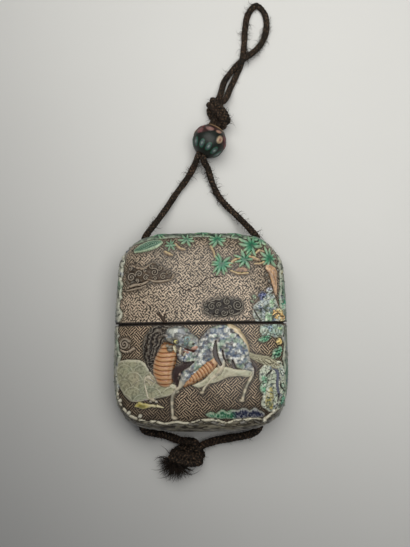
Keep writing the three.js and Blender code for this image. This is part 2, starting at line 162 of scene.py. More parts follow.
def wrapped(bands, columns, over=False, closed=False):
    """Quads in bands between rings of points, turned over or not, and joined last to first if closed."""
    quads = []
    for i in range(bands):
        for j in range(columns):
            k = (j + 1) % columns
            one, other = i * columns, ((i + 1) % bands if closed else i + 1) * columns
            quad = (one + j, one + k, other + k, other + j)
            quads.append((quad[1], quad[0], quad[3], quad[2]) if over else quad)
    return quads


TABLE_SIZE = 3000
table_finish, tree, shader = blank_material("table_paper", Roughness=0.75, Specular_IOR_Level=0.25)
mottle = noise(tree, object_place(tree, 60), 1.0, 3.0).outputs["Fac"]
surface(tree, shader, mixed(tree, mottle, (0.565, 0.560, 0.540, 1), (0.600, 0.595, 0.575, 1)))
half = TABLE_SIZE / 2
table = piece_from(
    "table",
    [(-half, -half, 0), (half, -half, 0), (half, half, 0), (-half, half, 0)],
    [(0, 1, 2, 3)],
    [table_finish],
)
table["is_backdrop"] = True

# ---------------------------------------------------------------------------------------------
# The cord: one length of dark brown silk, braided round from eight strands. From the lid's left hole
# it runs through the bead, an overhand knot of the doubled cord and the hanging loop, and back to the
# right hole. Both ends leave below the case and are tied together there.
CORD_RADIUS = 1.2
CORD_SIDES = 26
CORD_STEP = 0.22
STRANDS_EACH_WAY = 4
BRAID_PITCH = 5.4  # along the cord, for one strand to go once round
CHANNEL_X, CHANNEL_Z = 21.4, 10.6
EXIT = 34.3  # from the middle of the case to where the cord comes out of its holes
BEAD_CENTRE = np.array([3.2, 74.4, 6.6])
BEAD_LEAN = math.radians(28)
BEAD_HALF_LENGTH = 6.1
PAIR = 1.17  # half the distance between the two runs in the bead
LEAST_HEIGHT = 0.03  # of a loose fibre over the table

UP = np.array([0.0, 0.0, 1.0])


def smooth_path(points, step):
    """Evenly spaced places, a step apart, on a centripetal Catmull-Rom curve through the points."""
    points = np.asarray(points, dtype=float)
    ends = (2 * points[0] - points[1], 2 * points[-1] - points[-2])
    p = np.vstack([ends[0], points, ends[1]])
    knots = np.concatenate([[0], np.cumsum(np.sqrt(np.linalg.norm(np.diff(p, axis=0), axis=1)))])
    places = []
    for i in range(1, len(p) - 2):
        t = np.linspace(knots[i], knots[i + 1], 40, endpoint=False)[:, None]
        t0, t1, t2, t3 = knots[i - 1 : i + 3]
        a1 = (t1 - t) / (t1 - t0) * p[i - 1] + (t - t0) / (t1 - t0) * p[i]
        a2 = (t2 - t) / (t2 - t1) * p[i] + (t - t1) / (t2 - t1) * p[i + 1]
        a3 = (t3 - t) / (t3 - t2) * p[i + 1] + (t - t2) / (t3 - t2) * p[i + 2]
        b1 = (t2 - t) / (t2 - t0) * a1 + (t - t0) / (t2 - t0) * a2
        b2 = (t3 - t) / (t3 - t1) * a2 + (t - t1) / (t3 - t1) * a3
        places.append((t2 - t) / (t2 - t1) * b1 + (t - t1) / (t2 - t1) * b2)
    places = np.vstack(places + [points[-1:]])
    run = np.concatenate([[0], np.cumsum(np.linalg.norm(np.diff(places, axis=0), axis=1))])
    stations = np.linspace(0, run[-1], max(int(run[-1] / step), 2) + 1)
    return np.stack([np.interp(stations, run, column) for column in places.T], axis=1)


def frames_along(path):
    """Tangents along a path, and two cross directions that turn with it as little as they can."""
    tangents = np.gradient(path, axis=0)
    tangents /= np.linalg.norm(tangents, axis=1)[:, None]
    side = np.cross(tangents[0], UP if abs(tangents[0][2]) < 0.9 else np.array([1.0, 0, 0]))
    sides = []
    for tangent in tangents:
        side = side - tangent * side.dot(tangent)
        side = side / np.linalg.norm(side)
        sides.append(side)
    sides = np.array(sides)
    return tangents, sides, np.cross(tangents, sides)


def unit(values):
    """Values kept between 0 and 1."""
    return np.clip(values, 0, 1)


def braid(turn, along):
    """Height, 0 to 1, of a round braid's strands at a turn round it (0 to 1) and a distance along it."""
    one = turn * STRANDS_EACH_WAY + along / BRAID_PITCH * STRANDS_EACH_WAY
    other = turn * STRANDS_EACH_WAY - along / BRAID_PITCH * STRANDS_EACH_WAY
    over = (np.floor(one) + np.floor(other)) % 2 == 0
    across = np.where(over, one % 1, other % 1) * 2 - 1
    lengthways = np.where(over, other % 1, one % 1) * 2 - 1
    return np.sqrt(unit(1 - across**2)) * (0.72 + 0.28 * np.sqrt(unit(1 - lengthways**2)))


def braided_cord(name, path, material, swell=1.0):
    """A braided tube along a path of places a CORD_STEP apart, with its own UV map along and round it."""
    count = len(path)
    _, sides, lifts = frames_along(path)
    along = np.arange(count) * CORD_STEP
    turn = np.arange(CORD_SIDES) / CORD_SIDES
    angle = 2 * np.pi * turn[None, :]
    wander = 1 + 0.035 * np.sin(along * 0.9) + 0.03 * np.sin(along * 0.37 + 1.3)
    strands = braid(turn[None, :], along[:, None])
    radius = CORD_RADIUS * swell * wander[:, None] * (0.66 + 0.42 * strands)
    ring = np.cos(angle)[..., None] * sides[:, None, :] + np.sin(angle)[..., None] * lifts[:, None, :]
    points = (path[:, None, :] + radius[..., None] * ring).reshape(-1, 3)
    faces = wrapped(count - 1, CORD_SIDES)
    ends = [list(range(CORD_SIDES))[::-1], [(count - 1) * CORD_SIDES + j for j in range(CORD_SIDES)]]
    piece = piece_from(name, points, faces + ends, [material])
    height = piece.data.attributes.new("strand", "FLOAT", "POINT")
    height.data.foreach_set("value", strands.ravel())
    weave = piece.data.uv_layers.new(name="weave")
    corners = np.zeros((len(piece.data.loops), 2))
    index = np.array(faces)
    u = (index % CORD_SIDES) / CORD_SIDES
    u[:, 1:3][u[:, 1:3] == 0] = 1.0
    corners[: index.size, 0] = u.ravel()
    corners[: index.size, 1] = (index // CORD_SIDES).ravel() * CORD_STEP / BRAID_PITCH
    weave.data.foreach_set("uv", corners.ravel())
    return piece


def ramp(tree, factor, stops):
    """The output of a colour ramp, through stops of a share and a linear colour in thousandths."""
    node = add(tree, "ShaderNodeValToRGB", {"Fac": factor})
    elements = node.color_ramp.elements
    elements.remove(elements[1])
    for number, (share, colour) in enumerate(stops):
        stop = elements[0] if number == 0 else elements.new(share)
        stop.position = share
        stop.color = (*(value / 1000 for value in colour), 1)
    return node.outputs["Color"]


silk, tree, shader = blank_material("braided_silk", Roughness=0.82, Specular_IOR_Level=0.25)
place = object_place(tree)
uv = add(tree, "ShaderNodeUVMap", uv_map="weave").outputs["UV"]
turned = {"Vector": uv, "Scale": (16, 34, 1), "Rotation": (0, 0, math.radians(40))}
fibres = noise(tree, add(tree, "ShaderNodeMapping", turned).outputs["Vector"], 1.6, 4.0)
patches = noise(tree, place, 0.16, 3.0, 0.6)
worn = ramp(tree, patches.outputs["Fac"], [(0.34, (7, 5, 3)), (0.5, (12, 8, 4)), (0.66, (22, 9, 4))])
flecks = noise(tree, place, 1.5, 2.0, 0.6)
rubbed = add(tree, "ShaderNodeMapRange",
             {"Value": flecks.outputs["Fac"], "From Min": 0.50, "From Max": 0.68})
dry = mixed(tree, rubbed.outputs["Result"], worn, (0.130, 0.082, 0.050, 1))
# The colour is darkened down into the grooves between the strands, by their depth: painted shade.
strand = add(tree, "ShaderNodeAttribute", attribute_name="strand")
grooves = {"Value": strand.outputs["Fac"], "From Min": 0.45, "From Max": 0.9, "To Min": 0.05}
lit = add(tree, "ShaderNodeMapRange", grooves).outputs["Result"]
tone = add(tree, "ShaderNodeVectorMath", {0: dry, "Scale": lit}, operation="SCALE")
surface(tree, shader, tone.outputs["Vector"], fibres.outputs["Fac"], 0.7, 0.00016)


def along_bead(along, across, up=0.0):
    """A place given along the bead's bore, across it and above its middle."""
    x = across * math.cos(BEAD_LEAN) + along * math.sin(BEAD_LEAN)
    y = -across * math.sin(BEAD_LEAN) + along * math.cos(BEAD_LEAN)
    return BEAD_CENTRE + np.array([x, y, up])


# An overhand knot of two runs: across, along and up of their middle line, then the half step from it
# to one run, across, along and up.
OVERHAND = [
    (0.2, -1.3, 0.6, 1.15, 0, 0.2), (0.6, 1.7, 0.2, 1.15, 0, 0.2), (-0.6, 5, -0.2, 1.15, 0.2, 0),
    (-2.6, 7.2, -0.8, 0.9, 0.8, 0), (-4.2, 6.2, -1.9, 0.1, 1.1, 0.4), (-1.6, 3.9, -2.6, 0, 1.15, 0.1),
    (2.4, 1.8, -1.9, 0.1, 1.1, -0.2), (4.1, 2, 0.6, 0.3, 1.1, 0.4), (2, 3.9, 2.6, 0.3, 1.15, 0),
    (-1.4, 5.7, 2.7, 0.2, 1.15, 0), (-4.3, 7.2, 1.4, 0, 1.15, 0.1), (-4.6, 7.9, -0.9, 0.5, 1.1, 0),
    (-3.1, 8.8, -1.5, 1.1, 0.5, 0), (-1.6, 10.8, -0.7, 1.2, 0, 0),
]


def overhand(start, direction, hand, side):
    """One run of the doubled overhand knot, from a start and heading off in a plan direction."""
    ahead = np.array([math.cos(direction), math.sin(direction), 0])
    across = np.array([ahead[1], -ahead[0], 0]) * hand
    rows = np.array(OVERHAND)
    middle = start + rows[:, :1] * across + rows[:, 1:2] * ahead + rows[:, 2:3] * UP
    return list(middle + side * (rows[:, 3:4] * across + rows[:, 4:5] * ahead + rows[:, 5:6] * UP))


KNOT_START = along_bead(BEAD_HALF_LENGTH + 1.4, -1.8, -1.6)
KNOT_DIRECTION = math.radians(90 - 24)
upper_route = [
    (-CHANNEL_X, EXIT, CHANNEL_Z), (-CHANNEL_X, EXIT + 0.8, CHANNEL_Z - 0.1), (-20.2, 37.6, 9.4),
    (-16.3, 44, 5.2), (-13.1, 49.3, 3), (-9.6, 55, 2.2), (-6, 59.8, 2.6), (-2.9, 64.8, 4.4),
    *(along_bead(along, -PAIR) for along in (-BEAD_HALF_LENGTH - 1, 0, BEAD_HALF_LENGTH - 1)),
    *overhand(KNOT_START, KNOT_DIRECTION, 1, -1),
    (9.4, 101.1, 1.5), (12.9, 105.7, 2.4), (17.0, 109.6, 3.5), (21.6, 113.4, 2.6), (25.3, 118.6, 1.4),
    (26.8, 125, 1.2), (25.8, 130.7, 1.2), (22.5, 133.7, 1.2), (19.2, 129.8, 1.2), (17.9, 123.3, 1.2),
    (17.5, 116.4, 1.2), (16.6, 110, 1.2), (14.6, 104.5, 1.2), (12.2, 99.4, 1.2),
    *overhand(KNOT_START, KNOT_DIRECTION, 1, 1)[::-1],
    *(along_bead(along, PAIR) for along in (BEAD_HALF_LENGTH - 1, 0, -BEAD_HALF_LENGTH - 1)),
    (2.7, 63.9, 4.2), (4.3, 59, 2.5), (6.3, 54.5, 2.1), (9, 50.5, 2.8), (12.6, 46.5, 4.2), (16.2, 42.4, 6.2),
    (19.6, 38, 9), (CHANNEL_X, EXIT + 0.8, CHANNEL_Z - 0.1), (CHANNEL_X, EXIT, CHANNEL_Z),
]
TIE_START = np.array([-2.2, -43.6, 3.9])
TIE_DIRECTION = math.radians(232)
TAIL_SWELL = 1.2  # how much thicker the two tails are than the loop
left_tail_route = [
    (-CHANNEL_X, -EXIT, CHANNEL_Z), (-CHANNEL_X, -EXIT - 0.6, CHANNEL_Z - 0.2), (-20.3, -37, 8.4),
    (-16.8, -38.3, 5.6), (-12.4, -39.6, 3.8), (-8, -41.2, 3.4), *overhand(TIE_START, TIE_DIRECTION, -1, -1),
]
right_tail_route = [
    (CHANNEL_X, -EXIT, CHANNEL_Z), (CHANNEL_X, -EXIT - 0.6, CHANNEL_Z - 0.2), (20, -37.4, 8),
    (16.4, -39.2, 5), (11.2, -40.3, 3.4), (4.6, -41.6, 3.4), *overhand(TIE_START, TIE_DIRECTION, -1, 1),
]


def dressed(piece, slot, *replaced):
    """Rides a finished piece with the case, and hides the parts it replaces; the slot is not used."""
    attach(piece, "root")
    if replaced:
        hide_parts(*replaced)
    return piece


upper_path = smooth_path(upper_route, CORD_STEP)
cord_loop = braided_cord("cord_loop", upper_path, silk)
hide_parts("cord")
tails = []
for name, route in (("cord_tail_left", left_tail_route), ("cord_tail_right", right_tail_route)):
    path = smooth_path(route, CORD_STEP)
    tails.append((braided_cord(name, path, silk, TAIL_SWELL), path))
runs = []
for name, x in (("cord_run_left", -CHANNEL_X), ("cord_run_right", CHANNEL_X)):
    inside = smooth_path([(x, y, CHANNEL_Z) for y in (-EXIT, 0, EXIT)], CORD_STEP)
    runs.append(braided_cord(name, inside, silk))
for piece in [cord_loop, *runs, *(tail for tail, _ in tails)]:
    dressed(piece, "silk")


def fibre(name, curl, radius, steps=7):
    """One thin tapered fibre a unit long, curling as it rises, to be copied over a surface."""
    t = np.linspace(0, 1, steps)
    line = np.stack([curl * (1 - np.cos(2.6 * t)) * 0.4, curl * np.sin(3.3 * t) * 0.28,
                     t * (1 - 0.35 * curl * t)], axis=-1)
    _, sides, lifts = frames_along(line)
    rings = [line + radius * (1.1 - t)[:, None] * (math.cos(a) * sides + math.sin(a) * lifts)
             for a in (0, 2.09, 4.19)]
    points = np.stack(rings, axis=1).reshape(-1, 3)
    ends = [(2, 1, 0), (3 * steps - 3, 3 * steps - 2, 3 * steps - 1)]
    return piece_from(name, points, wrapped(steps - 1, 3) + ends, [])


def maths(tree, operation, *values, clamp=False):
    """The output of one Math node."""
    return add(tree, "ShaderNodeMath", dict(enumerate(values)), operation=operation,
               use_clamp=clamp).outputs[0]


def scattered(name, host, form, material, density, sizes, lean, patch=(1.0, 0.0), seed=1):
    """Copies of a small form over a host's surface, so many a square millimetre, in patches of noise.

    patch is the noise's scale for each millimetre and the level above which the copies stand."""
    tree = bpy.data.node_groups.new(name, "GeometryNodeTree")
    kinds = {"Host": "Geometry", "Form": "Object", "Density": "Float", "Smallest": "Float",
             "Largest": "Float", "Lean": "Float",
             "Patch Scale": "Float", "Patch Level": "Float", "Seed": "Int", "Finish": "Material"}
    for label, kind in kinds.items():
        tree.interface.new_socket(label, in_out="INPUT", socket_type="NodeSocket" + kind)
    tree.interface.new_socket("Copies", in_out="OUTPUT", socket_type="NodeSocketGeometry")
    given = add(tree, "NodeGroupInput").outputs
    spot = add(tree, "GeometryNodeInputPosition")
    patches = noise(tree, spot.outputs[0], given["Patch Scale"], 2.0).outputs["Fac"]
    thick = maths(tree, "MULTIPLY", maths(tree, "GREATER_THAN", patches, given["Patch Level"]),
                  given["Density"])
    points = add(tree, "GeometryNodeDistributePointsOnFaces",
                 {"Mesh": given["Host"], "Density": thick, "Seed": given["Seed"]})
    back = maths(tree, "MULTIPLY", given["Lean"], -1.0)
    least = add(tree, "ShaderNodeCombineXYZ", {"X": back, "Y": back, "Z": -math.pi})
    most = add(tree, "ShaderNodeCombineXYZ", {"X": given["Lean"], "Y": given["Lean"], "Z": math.pi})
    tilt = add(tree, "FunctionNodeRandomValue",
               {0: least.outputs[0], 1: most.outputs[0], "Seed": given["Seed"]}, data_type="FLOAT_VECTOR")
    size = add(tree, "FunctionNodeRandomValue",
               {2: given["Smallest"], 3: given["Largest"], "Seed": given["Seed"]}, data_type="FLOAT")
    by = add(tree, "FunctionNodeEulerToRotation", {0: tilt.outputs[0]})
    turned = add(tree, "FunctionNodeRotateRotation", {0: points.outputs["Rotation"], 1: by.outputs[0]},
                 rotation_space="LOCAL")
    shape = add(tree, "GeometryNodeObjectInfo", {"Object": given["Form"]})
    copies = add(tree, "GeometryNodeInstanceOnPoints",
                 {"Points": points.outputs["Points"], "Instance": shape.outputs["Geometry"],
                  "Rotation": turned.outputs[0],
                  "Scale": size.outputs[1]})
    solid = add(tree, "GeometryNodeRealizeInstances", {0: copies.outputs[0]})
    finish = add(tree, "GeometryNodeSetMaterial",
                 {"Geometry": solid.outputs[0], "Material": given["Finish"]})
    end = add(tree, "NodeGroupOutput")
    tree.links.new(finish.outputs[0], end.inputs[0])
    piece = bpy.data.objects.new(name, host.data.copy())
    piece.data.materials.clear()
    scene.collection.objects.link(piece)
    scatter = piece.modifiers.new("scatter", "NODES")
    scatter.node_group = tree
    values = {"Form": form, "Density": density / MM**2, "Smallest": float(sizes[0]),
              "Largest": float(sizes[1]), "Lean": lean,
              "Patch Scale": patch[0] / MM, "Patch Level": patch[1], "Seed": seed, "Finish": material}
    for socket in tree.interface.items_tree:
        if socket.name in values:
            scatter[socket.identifier] = values[socket.name]
    mesh = bpy.data.meshes.new_from_object(piece.evaluated_get(bpy.context.evaluated_depsgraph_get()))
    piece.modifiers.clear()
    piece.data = mesh
    mesh.materials.clear()
    mesh.materials.append(material)
    mesh.polygons.foreach_set("material_index", [0] * len(mesh.polygons))
    for vertex in mesh.vertices:
        vertex.co.z = max(vertex.co.z, LEAST_HEIGHT * MM)
    return piece


fray, tree, shader = blank_material("frayed_silk", Roughness=0.7, Specular_IOR_Level=0.3)
tufts = noise(tree, object_place(tree, 1.3), 1.0, 2.0).outputs["Fac"]
surface(tree, shader, ramp(tree, tufts, [(0.35, (9, 6, 4)), (0.65, (34, 22, 14))]))
stray, stiff = fibre("stray", 1.0, 0.034), fibre("stiff", 0.35, 0.028, 6)
BRUSH_TURN = math.radians(247)
CAP_ROWS, CAP_COLUMNS, CAP_RADIUS = 6, 24, 2.9
ends = np.mean([path[-1] for _, path in tails], axis=0)
cap = []
for row in range(CAP_ROWS + 1):
    for column in range(CAP_COLUMNS):
        out, around = 0.23 * row, column / CAP_COLUMNS * 2 * math.pi
        ahead, aside = CAP_RADIUS * (math.cos(out) - 0.9), CAP_RADIUS * (math.sin(out) * math.cos(around))
        lift = 0.5 * math.sin(out) * math.sin(around)
        x = ends[0] + ahead * math.cos(BRUSH_TURN) - aside * math.sin(BRUSH_TURN)
        y = ends[1] + ahead * math.sin(BRUSH_TURN) + aside * math.cos(BRUSH_TURN)
        cap.append((x, y, 3.0 + CAP_RADIUS * lift))
cap = piece_from("cap", cap, [quad[::-1] for quad in wrapped(CAP_ROWS, CAP_COLUMNS)], [])
brush = scattered("tail_brush", cap, stiff, fray, 14, (3.6, 6.4), 0.34, seed=4)
whiskers = scattered("tail_whiskers", cap, stray, fray, 0.6, (5.5, 8.0), 0.7, seed=9)
loop_fuzz = scattered("loop_fuzz", cord_loop, stray, fray, 0.8, (0.8, 3.2), 0.8, (0.10, 0.53), 3)
fuzz = []
for hand, (tail, _) in zip(("left", "right"), tails):
    fuzz.append(scattered(f"fuzz_{hand}", tail, stray, fray, 0.4, (0.8, 2.0), 0.7, (0.15, 0.45), 5))
for piece in (brush, whiskers, loop_fuzz, *fuzz):
    dressed(piece, "silk")
for form in (stray, stiff, cap):
    bpy.data.objects.remove(form)
for piece, path, far_end, others in (
    (cord_loop, upper_path, "object", [loop_fuzz]),
    (tails[0][0], tails[0][1], "knot", [fuzz[0], brush, whiskers]),
    (tails[1][0], tails[1][1], "knot", [fuzz[1]]),
):
    length = float(np.linalg.norm(np.diff(path, axis=0), axis=1).sum()) * MM

# ---------------------------------------------------------------------------------------------
# The ojime: a pottery bead with a wide bore, glazed almost black. Raised enamel petals in pink, rust
# and cream go round its upper half, and grey-green lappets round its lower end. It slides on the cord.
BEAD_RADIUS = 6.6
BEAD_BORE = 2.9
BEAD_ROWS, BEAD_COLUMNS = 84, 168
LAPPETS = 12
PETALS = [  # along the bore, turn round it in degrees, half width, half length, tilt in degrees, colour
    (3.2, 104, 1.9, 1.2, 8, (106, 76, 70)),
    (0.9, 134, 1.6, 1.5, 32, (92, 54, 54)),
    (2.5, 156, 1.9, 1.2, -40, (66, 24, 27)),
    (1.0, 52, 1.45, 1.9, -14, (150, 128, 102)),
    (0.9, 52, 0.6, 0.8, -14, (122, 82, 74)),
    (3.9, 66, 1.5, 0.9, 30, (124, 92, 76)),
    (3.4, 20, 0.7, 1.2, 30, (84, 38, 38)),
]
PETAL_TURNS = (0, 118, 236)


def linear(colour):
    """Linear light, 0 to 1, from a display colour, 0 to 255."""
    value = np.asarray(colour, dtype=float) / 255
    return np.where(value <= 0.04045, value / 12.92, ((value + 0.055) / 1.055) ** 2.4)


def blend(one, other, share):
    """One colour, or one for each place, turned to another by a share at each place."""
    one = np.asarray(one, dtype=float)
    return one + (np.asarray(other) - one) * unit(share)[..., None]


def colour_points(piece, colours):
    """Keeps a linear colour for each point of a piece in the attribute "enamel"."""
    layer = piece.data.attributes.new("enamel", "FLOAT_COLOR", "POINT")
    flat = np.concatenate([colours.reshape(-1, 3), np.ones((len(piece.data.vertices), 1))], axis=1)
    layer.data.foreach_set("color", flat.astype(np.float32).ravel())


def enamel_material(name, roughness, mottle_size, mottle_strength, bump, coat=0.3):
    """Fired enamel that takes its colour from the piece's attribute, mottled and pitted a little."""
    gloss = {"Specular_IOR_Level": 0.28, "Coat_Weight": 0.6 * coat, "Coat_Roughness": 0.14}
    material, tree, shader = blank_material(name, Roughness=roughness, **gloss)
    enamel = add(tree, "ShaderNodeAttribute", attribute_name="enamel").outputs["Color"]
    mottles = noise(tree, object_place(tree, mottle_size), 1.0, 4.0, 0.62).outputs["Fac"]
    swing = {"Value": mottles, "From Min": 0.3, "From Max": 0.7, "To Min": 1 - mottle_strength,
             "To Max": 1 + mottle_strength}
    swing = add(tree, "ShaderNodeMapRange", swing).outputs["Result"]
    toned = add(tree, "ShaderNodeVectorMath", {0: enamel, "Scale": swing}, operation="SCALE")
    surface(tree, shader, toned.outputs["Vector"], mottles, bump, 0.0001)
    return material


bead_end = math.asin(BEAD_HALF_LENGTH / BEAD_RADIUS)
turns = np.arange(BEAD_COLUMNS) / BEAD_COLUMNS * 2 * np.pi
rise_angle = np.linspace(-bead_end, bead_end, BEAD_ROWS)
turn, lift = np.meshgrid(turns, rise_angle)
along = BEAD_RADIUS * np.sin(lift)
raised = np.zeros_like(turn)
colours = linear((18, 23, 18))
colours = blend(colours, linear((58, 22, 24)), 0.5 * (along > 0) * (np.sin(3 * turn + 4 * lift) > 0))
for first in PETAL_TURNS:
    for petal_along, petal_turn, wide, long, tilt, colour in PETALS:
        offset = (turn - math.radians(petal_turn + first) + np.pi) % (2 * np.pi) - np.pi
        across, up = -offset * BEAD_RADIUS * np.cos(lift), (lift * BEAD_RADIUS - petal_along)
        c, s = math.cos(math.radians(tilt)), math.sin(math.radians(tilt))
        reach = np.hypot((across * c + up * s) / wide, (up * c - across * s) / long)
        inside = unit((1 - reach) * 4)
        raised = np.maximum(raised, 0.28 * np.sqrt(unit(1 - reach**2)))
        pale = linear(np.minimum(np.array(colour) + 22, 255))
        colours = blend(colours, blend(linear(colour), pale, 1 - reach), inside)
offset = (turn * LAPPETS / (2 * np.pi)) % 1 - 0.5
across = offset * 2 * np.pi * BEAD_RADIUS * np.cos(lift) / LAPPETS
reach = np.hypot(across / 0.95, (lift * BEAD_RADIUS + 3.7) / 1.75)
raised = np.maximum(raised, 0.22 * np.sqrt(unit(1 - reach**2)))
for colour, level, steep in (((34, 82, 62), 1.12, 6), ((70, 74, 82), 0.85, 5), ((112, 130, 120), 0.45, 5)):
    colours = blend(colours, linear(colour), unit((level - reach) * steep))
ring = unit(1 - np.abs(lift * BEAD_RADIUS - 6.35) / 0.55)
raised = np.maximum(raised, 0.25 * np.sqrt(ring))
colours = blend(colours, linear((158, 128, 92)), ring * 3)

outside = BEAD_RADIUS + raised
rows = [np.stack([outside * np.cos(lift) * np.cos(turn), along, outside * np.cos(lift) * np.sin(turn)],
                 axis=-1)]
for bore_along in (BEAD_HALF_LENGTH - 0.4, -BEAD_HALF_LENGTH + 0.4):
    ring = np.stack([BEAD_BORE * np.cos(turns), np.full(BEAD_COLUMNS, bore_along),
                     BEAD_BORE * np.sin(turns)], axis=-1)
    rows.append(ring[None])
local = np.concatenate(rows).reshape(-1, 3)
points = np.array([along_bead(a, b, c) for b, a, c in local])
bead_glaze = enamel_material("bead_glaze", 0.5, 1.1, 0.4, 0.6, coat=0.15)
ojime = piece_from("ojime", points, wrapped(BEAD_ROWS + 2, BEAD_COLUMNS, True, True), [bead_glaze])
colour_points(ojime, np.concatenate([colours.reshape(-1, 3),
                                     np.tile(linear((20, 17, 18)), (2 * BEAD_COLUMNS, 1))]))
dressed(ojime, "bead_enamel", "ojime_bead")

# ---------------------------------------------------------------------------------------------
# The case: two moulded porcelain sections with walls of 2.4 mm. The lower one has a collar that the lid
# slips over, on a low seat that closes the joint. A dark key-fret covers the buff ground, worn on the lid.
HALF_WIDTH, HALF_HEIGHT, HALF_DEPTH = 31.8, 36.0, 11.4
MIDDLE_Z = 11.0
OUTLINE_POWER, SECTION_POWER = 4.5, 2.8
TAPER = 0.026
WALL = 2.4
JOINT_Y, JOINT_SLOPE, JOINT_GAP = 2.6, math.tan(math.radians(0.9)), 0.6
COLLAR_HEIGHT, COLLAR_WALL, COLLAR_CLEARANCE = 7.0, 1.5, 0.35
AROUND = 300  # columns round a section


def power(value, exponent):
    """A power that keeps the sign."""
    return np.sign(value) * np.abs(value) ** exponent


# arc lengths of the outside, from the middle of the front to its end wall and round to its back
lean = np.linspace(0, np.pi / 2, 4001)
end_curve = np.stack([HALF_HEIGHT * np.sin(lean) ** (2 / OUTLINE_POWER),
                      HALF_DEPTH * np.cos(lean) ** (2 / OUTLINE_POWER)])
side_curve = np.stack([HALF_WIDTH * np.sin(lean) ** (2 / SECTION_POWER),
                       HALF_DEPTH * np.cos(lean) ** (2 / SECTION_POWER)])
END_RUN = np.concatenate([[0], np.cumsum(np.hypot(*np.diff(end_curve, axis=1)))])
SIDE_RUN = np.concatenate([[0], np.cumsum(np.hypot(*np.diff(side_curve, axis=1)))])
SIDE_LENGTH = SIDE_RUN[-1]


def on_case(u, v, rise):
    """Places on the case, from lengths across and up from the middle of its face, and a rise from it."""
    u, v = np.asarray(u, dtype=float), np.asarray(v, dtype=float)
    high = np.interp(np.abs(v), END_RUN, lean)
    y = np.sign(v) * HALF_HEIGHT * np.sin(high) ** (2 / OUTLINE_POWER)
    spread = np.cos(high) ** (2 / OUTLINE_POWER)
    run = np.abs(u) / np.maximum(spread, 0.02)
    behind = run > SIDE_LENGTH
    turn = np.interp(np.where(behind, 2 * SIDE_LENGTH - run, run), SIDE_RUN, lean)
    width = HALF_WIDTH * (1 - TAPER * y / HALF_HEIGHT)
    x = np.sign(u) * width * spread * np.sin(turn) ** (2 / SECTION_POWER)
    z = HALF_DEPTH * spread * np.cos(turn) ** (2 / SECTION_POWER) * np.where(behind, -1, 1)
    across, deep = np.abs(x / width), np.abs(z / HALF_DEPTH)
    ring = np.maximum(across**SECTION_POWER + deep**SECTION_POWER, 1e-9)
    pull = ring ** (OUTLINE_POWER / SECTION_POWER - 1)
    normal = np.stack(
        [
            pull * power(x / width, SECTION_POWER - 1) / width,
            power(y / HALF_HEIGHT, OUTLINE_POWER - 1) / HALF_HEIGHT,
            pull * power(z / HALF_DEPTH, SECTION_POWER - 1) / HALF_DEPTH,
        ],
        axis=-1,
    )
    normal /= np.linalg.norm(normal, axis=-1)[..., None]
    return np.stack([x, y, MIDDLE_Z + z], axis=-1) + normal * np.asarray(rise)[..., None]


def face_lengths(x, y):
    """Lengths across and up the surface of a place on the case's face seen from straight above."""
    x, y = np.asarray(x, dtype=float), np.clip(np.asarray(y, dtype=float), -HALF_HEIGHT, HALF_HEIGHT)
    high = np.arcsin(np.abs(y / HALF_HEIGHT) ** (OUTLINE_POWER / 2))
    spread = np.maximum(np.cos(high) ** (2 / OUTLINE_POWER), 0.02)
    width = HALF_WIDTH * (1 - TAPER * y / HALF_HEIGHT) * spread
    turn = np.arcsin(unit(np.abs(x / width)) ** (SECTION_POWER / 2))
    u = np.sign(x) * spread * np.interp(turn, lean, SIDE_RUN)
    return u, np.sign(y) * np.interp(high, lean, END_RUN)


RING = np.arange(AROUND) / AROUND * 4 * SIDE_LENGTH  # lengths round the widest ring, from the front's middle
ON_RIGHT = RING < 2 * SIDE_LENGTH
ON_FRONT = (RING < SIDE_LENGTH) | (RING >= 3 * SIDE_LENGTH)


def ring_of_case(y, inset, tilt):
    """One ring of a section: its height, its inset from the outside and its share of the joint's tilt."""
    half = RING % (2 * SIDE_LENGTH)
    turn = np.interp(np.where(half > SIDE_LENGTH, 2 * SIDE_LENGTH - half, half), SIDE_RUN, lean)
    spread = max(1 - abs(y / (HALF_HEIGHT - inset)) ** OUTLINE_POWER, 0.0) ** (1 / OUTLINE_POWER)
    width = (HALF_WIDTH - inset) * (1 - TAPER * y / HALF_HEIGHT) * spread
    x = np.where(ON_RIGHT, 1, -1) * width * np.sin(turn) ** (2 / SECTION_POWER)
    deep = (HALF_DEPTH - inset) * spread * np.cos(turn) ** (2 / SECTION_POWER)
    z = MIDDLE_Z + np.where(ON_FRONT, 1, -1) * deep
    return np.stack([x, y + tilt * JOINT_SLOPE * x, np.maximum(z, min(inset, WALL))], axis=-1)


def shell_rows(sign, collar):
    """A section's rings from its end over its rim to the inside: height, inset, tilt and finish of each."""
    rim = JOINT_Y + sign * JOINT_GAP / 2
    rows = []
    for length in np.linspace(END_RUN[-1] - 0.02, -10, 120):
        y = sign * math.copysign(np.interp(abs(length), END_RUN, end_curve[0]), length)
        if sign * (y - rim) > LIP:
            rows.append((y, 0.0, unit(1 - abs(y - rim) / 14), 0))
    for step in np.linspace(0, np.pi / 2, 5):
        rows.append((rim + sign * LIP * (1 - math.sin(step)), LIP * (1 - math.cos(step)), 1, 1))
    if collar:
        outside, inside = WALL + COLLAR_CLEARANCE, WALL + COLLAR_CLEARANCE + COLLAR_WALL
        seat = rim + JOINT_GAP - 0.04
        rows += [(rim, 0.9, 1, 1), (seat, 1.0, 1, 1), (seat, outside, 1, 1),
                 (rim + COLLAR_HEIGHT - 0.3, outside, 1, 1)]
        rows += [(rim + COLLAR_HEIGHT, outside + 0.3, 1, 1), (rim + COLLAR_HEIGHT, inside, 1, 2)]
        rows += [(rim - 2, inside, 0.7, 2)]
    rows.append((rim - 3 if collar else rim, WALL, 0.6 if collar else 1, 2))
    last = rows[-1][0]
    for share in np.linspace(0.04, 0.999, 16):
        y = last + (sign * (HALF_HEIGHT - WALL) - last) * math.sin(share * np.pi / 2)
        rows.append((y, WALL, 0.5 * (1 - share), 2))
    return rows


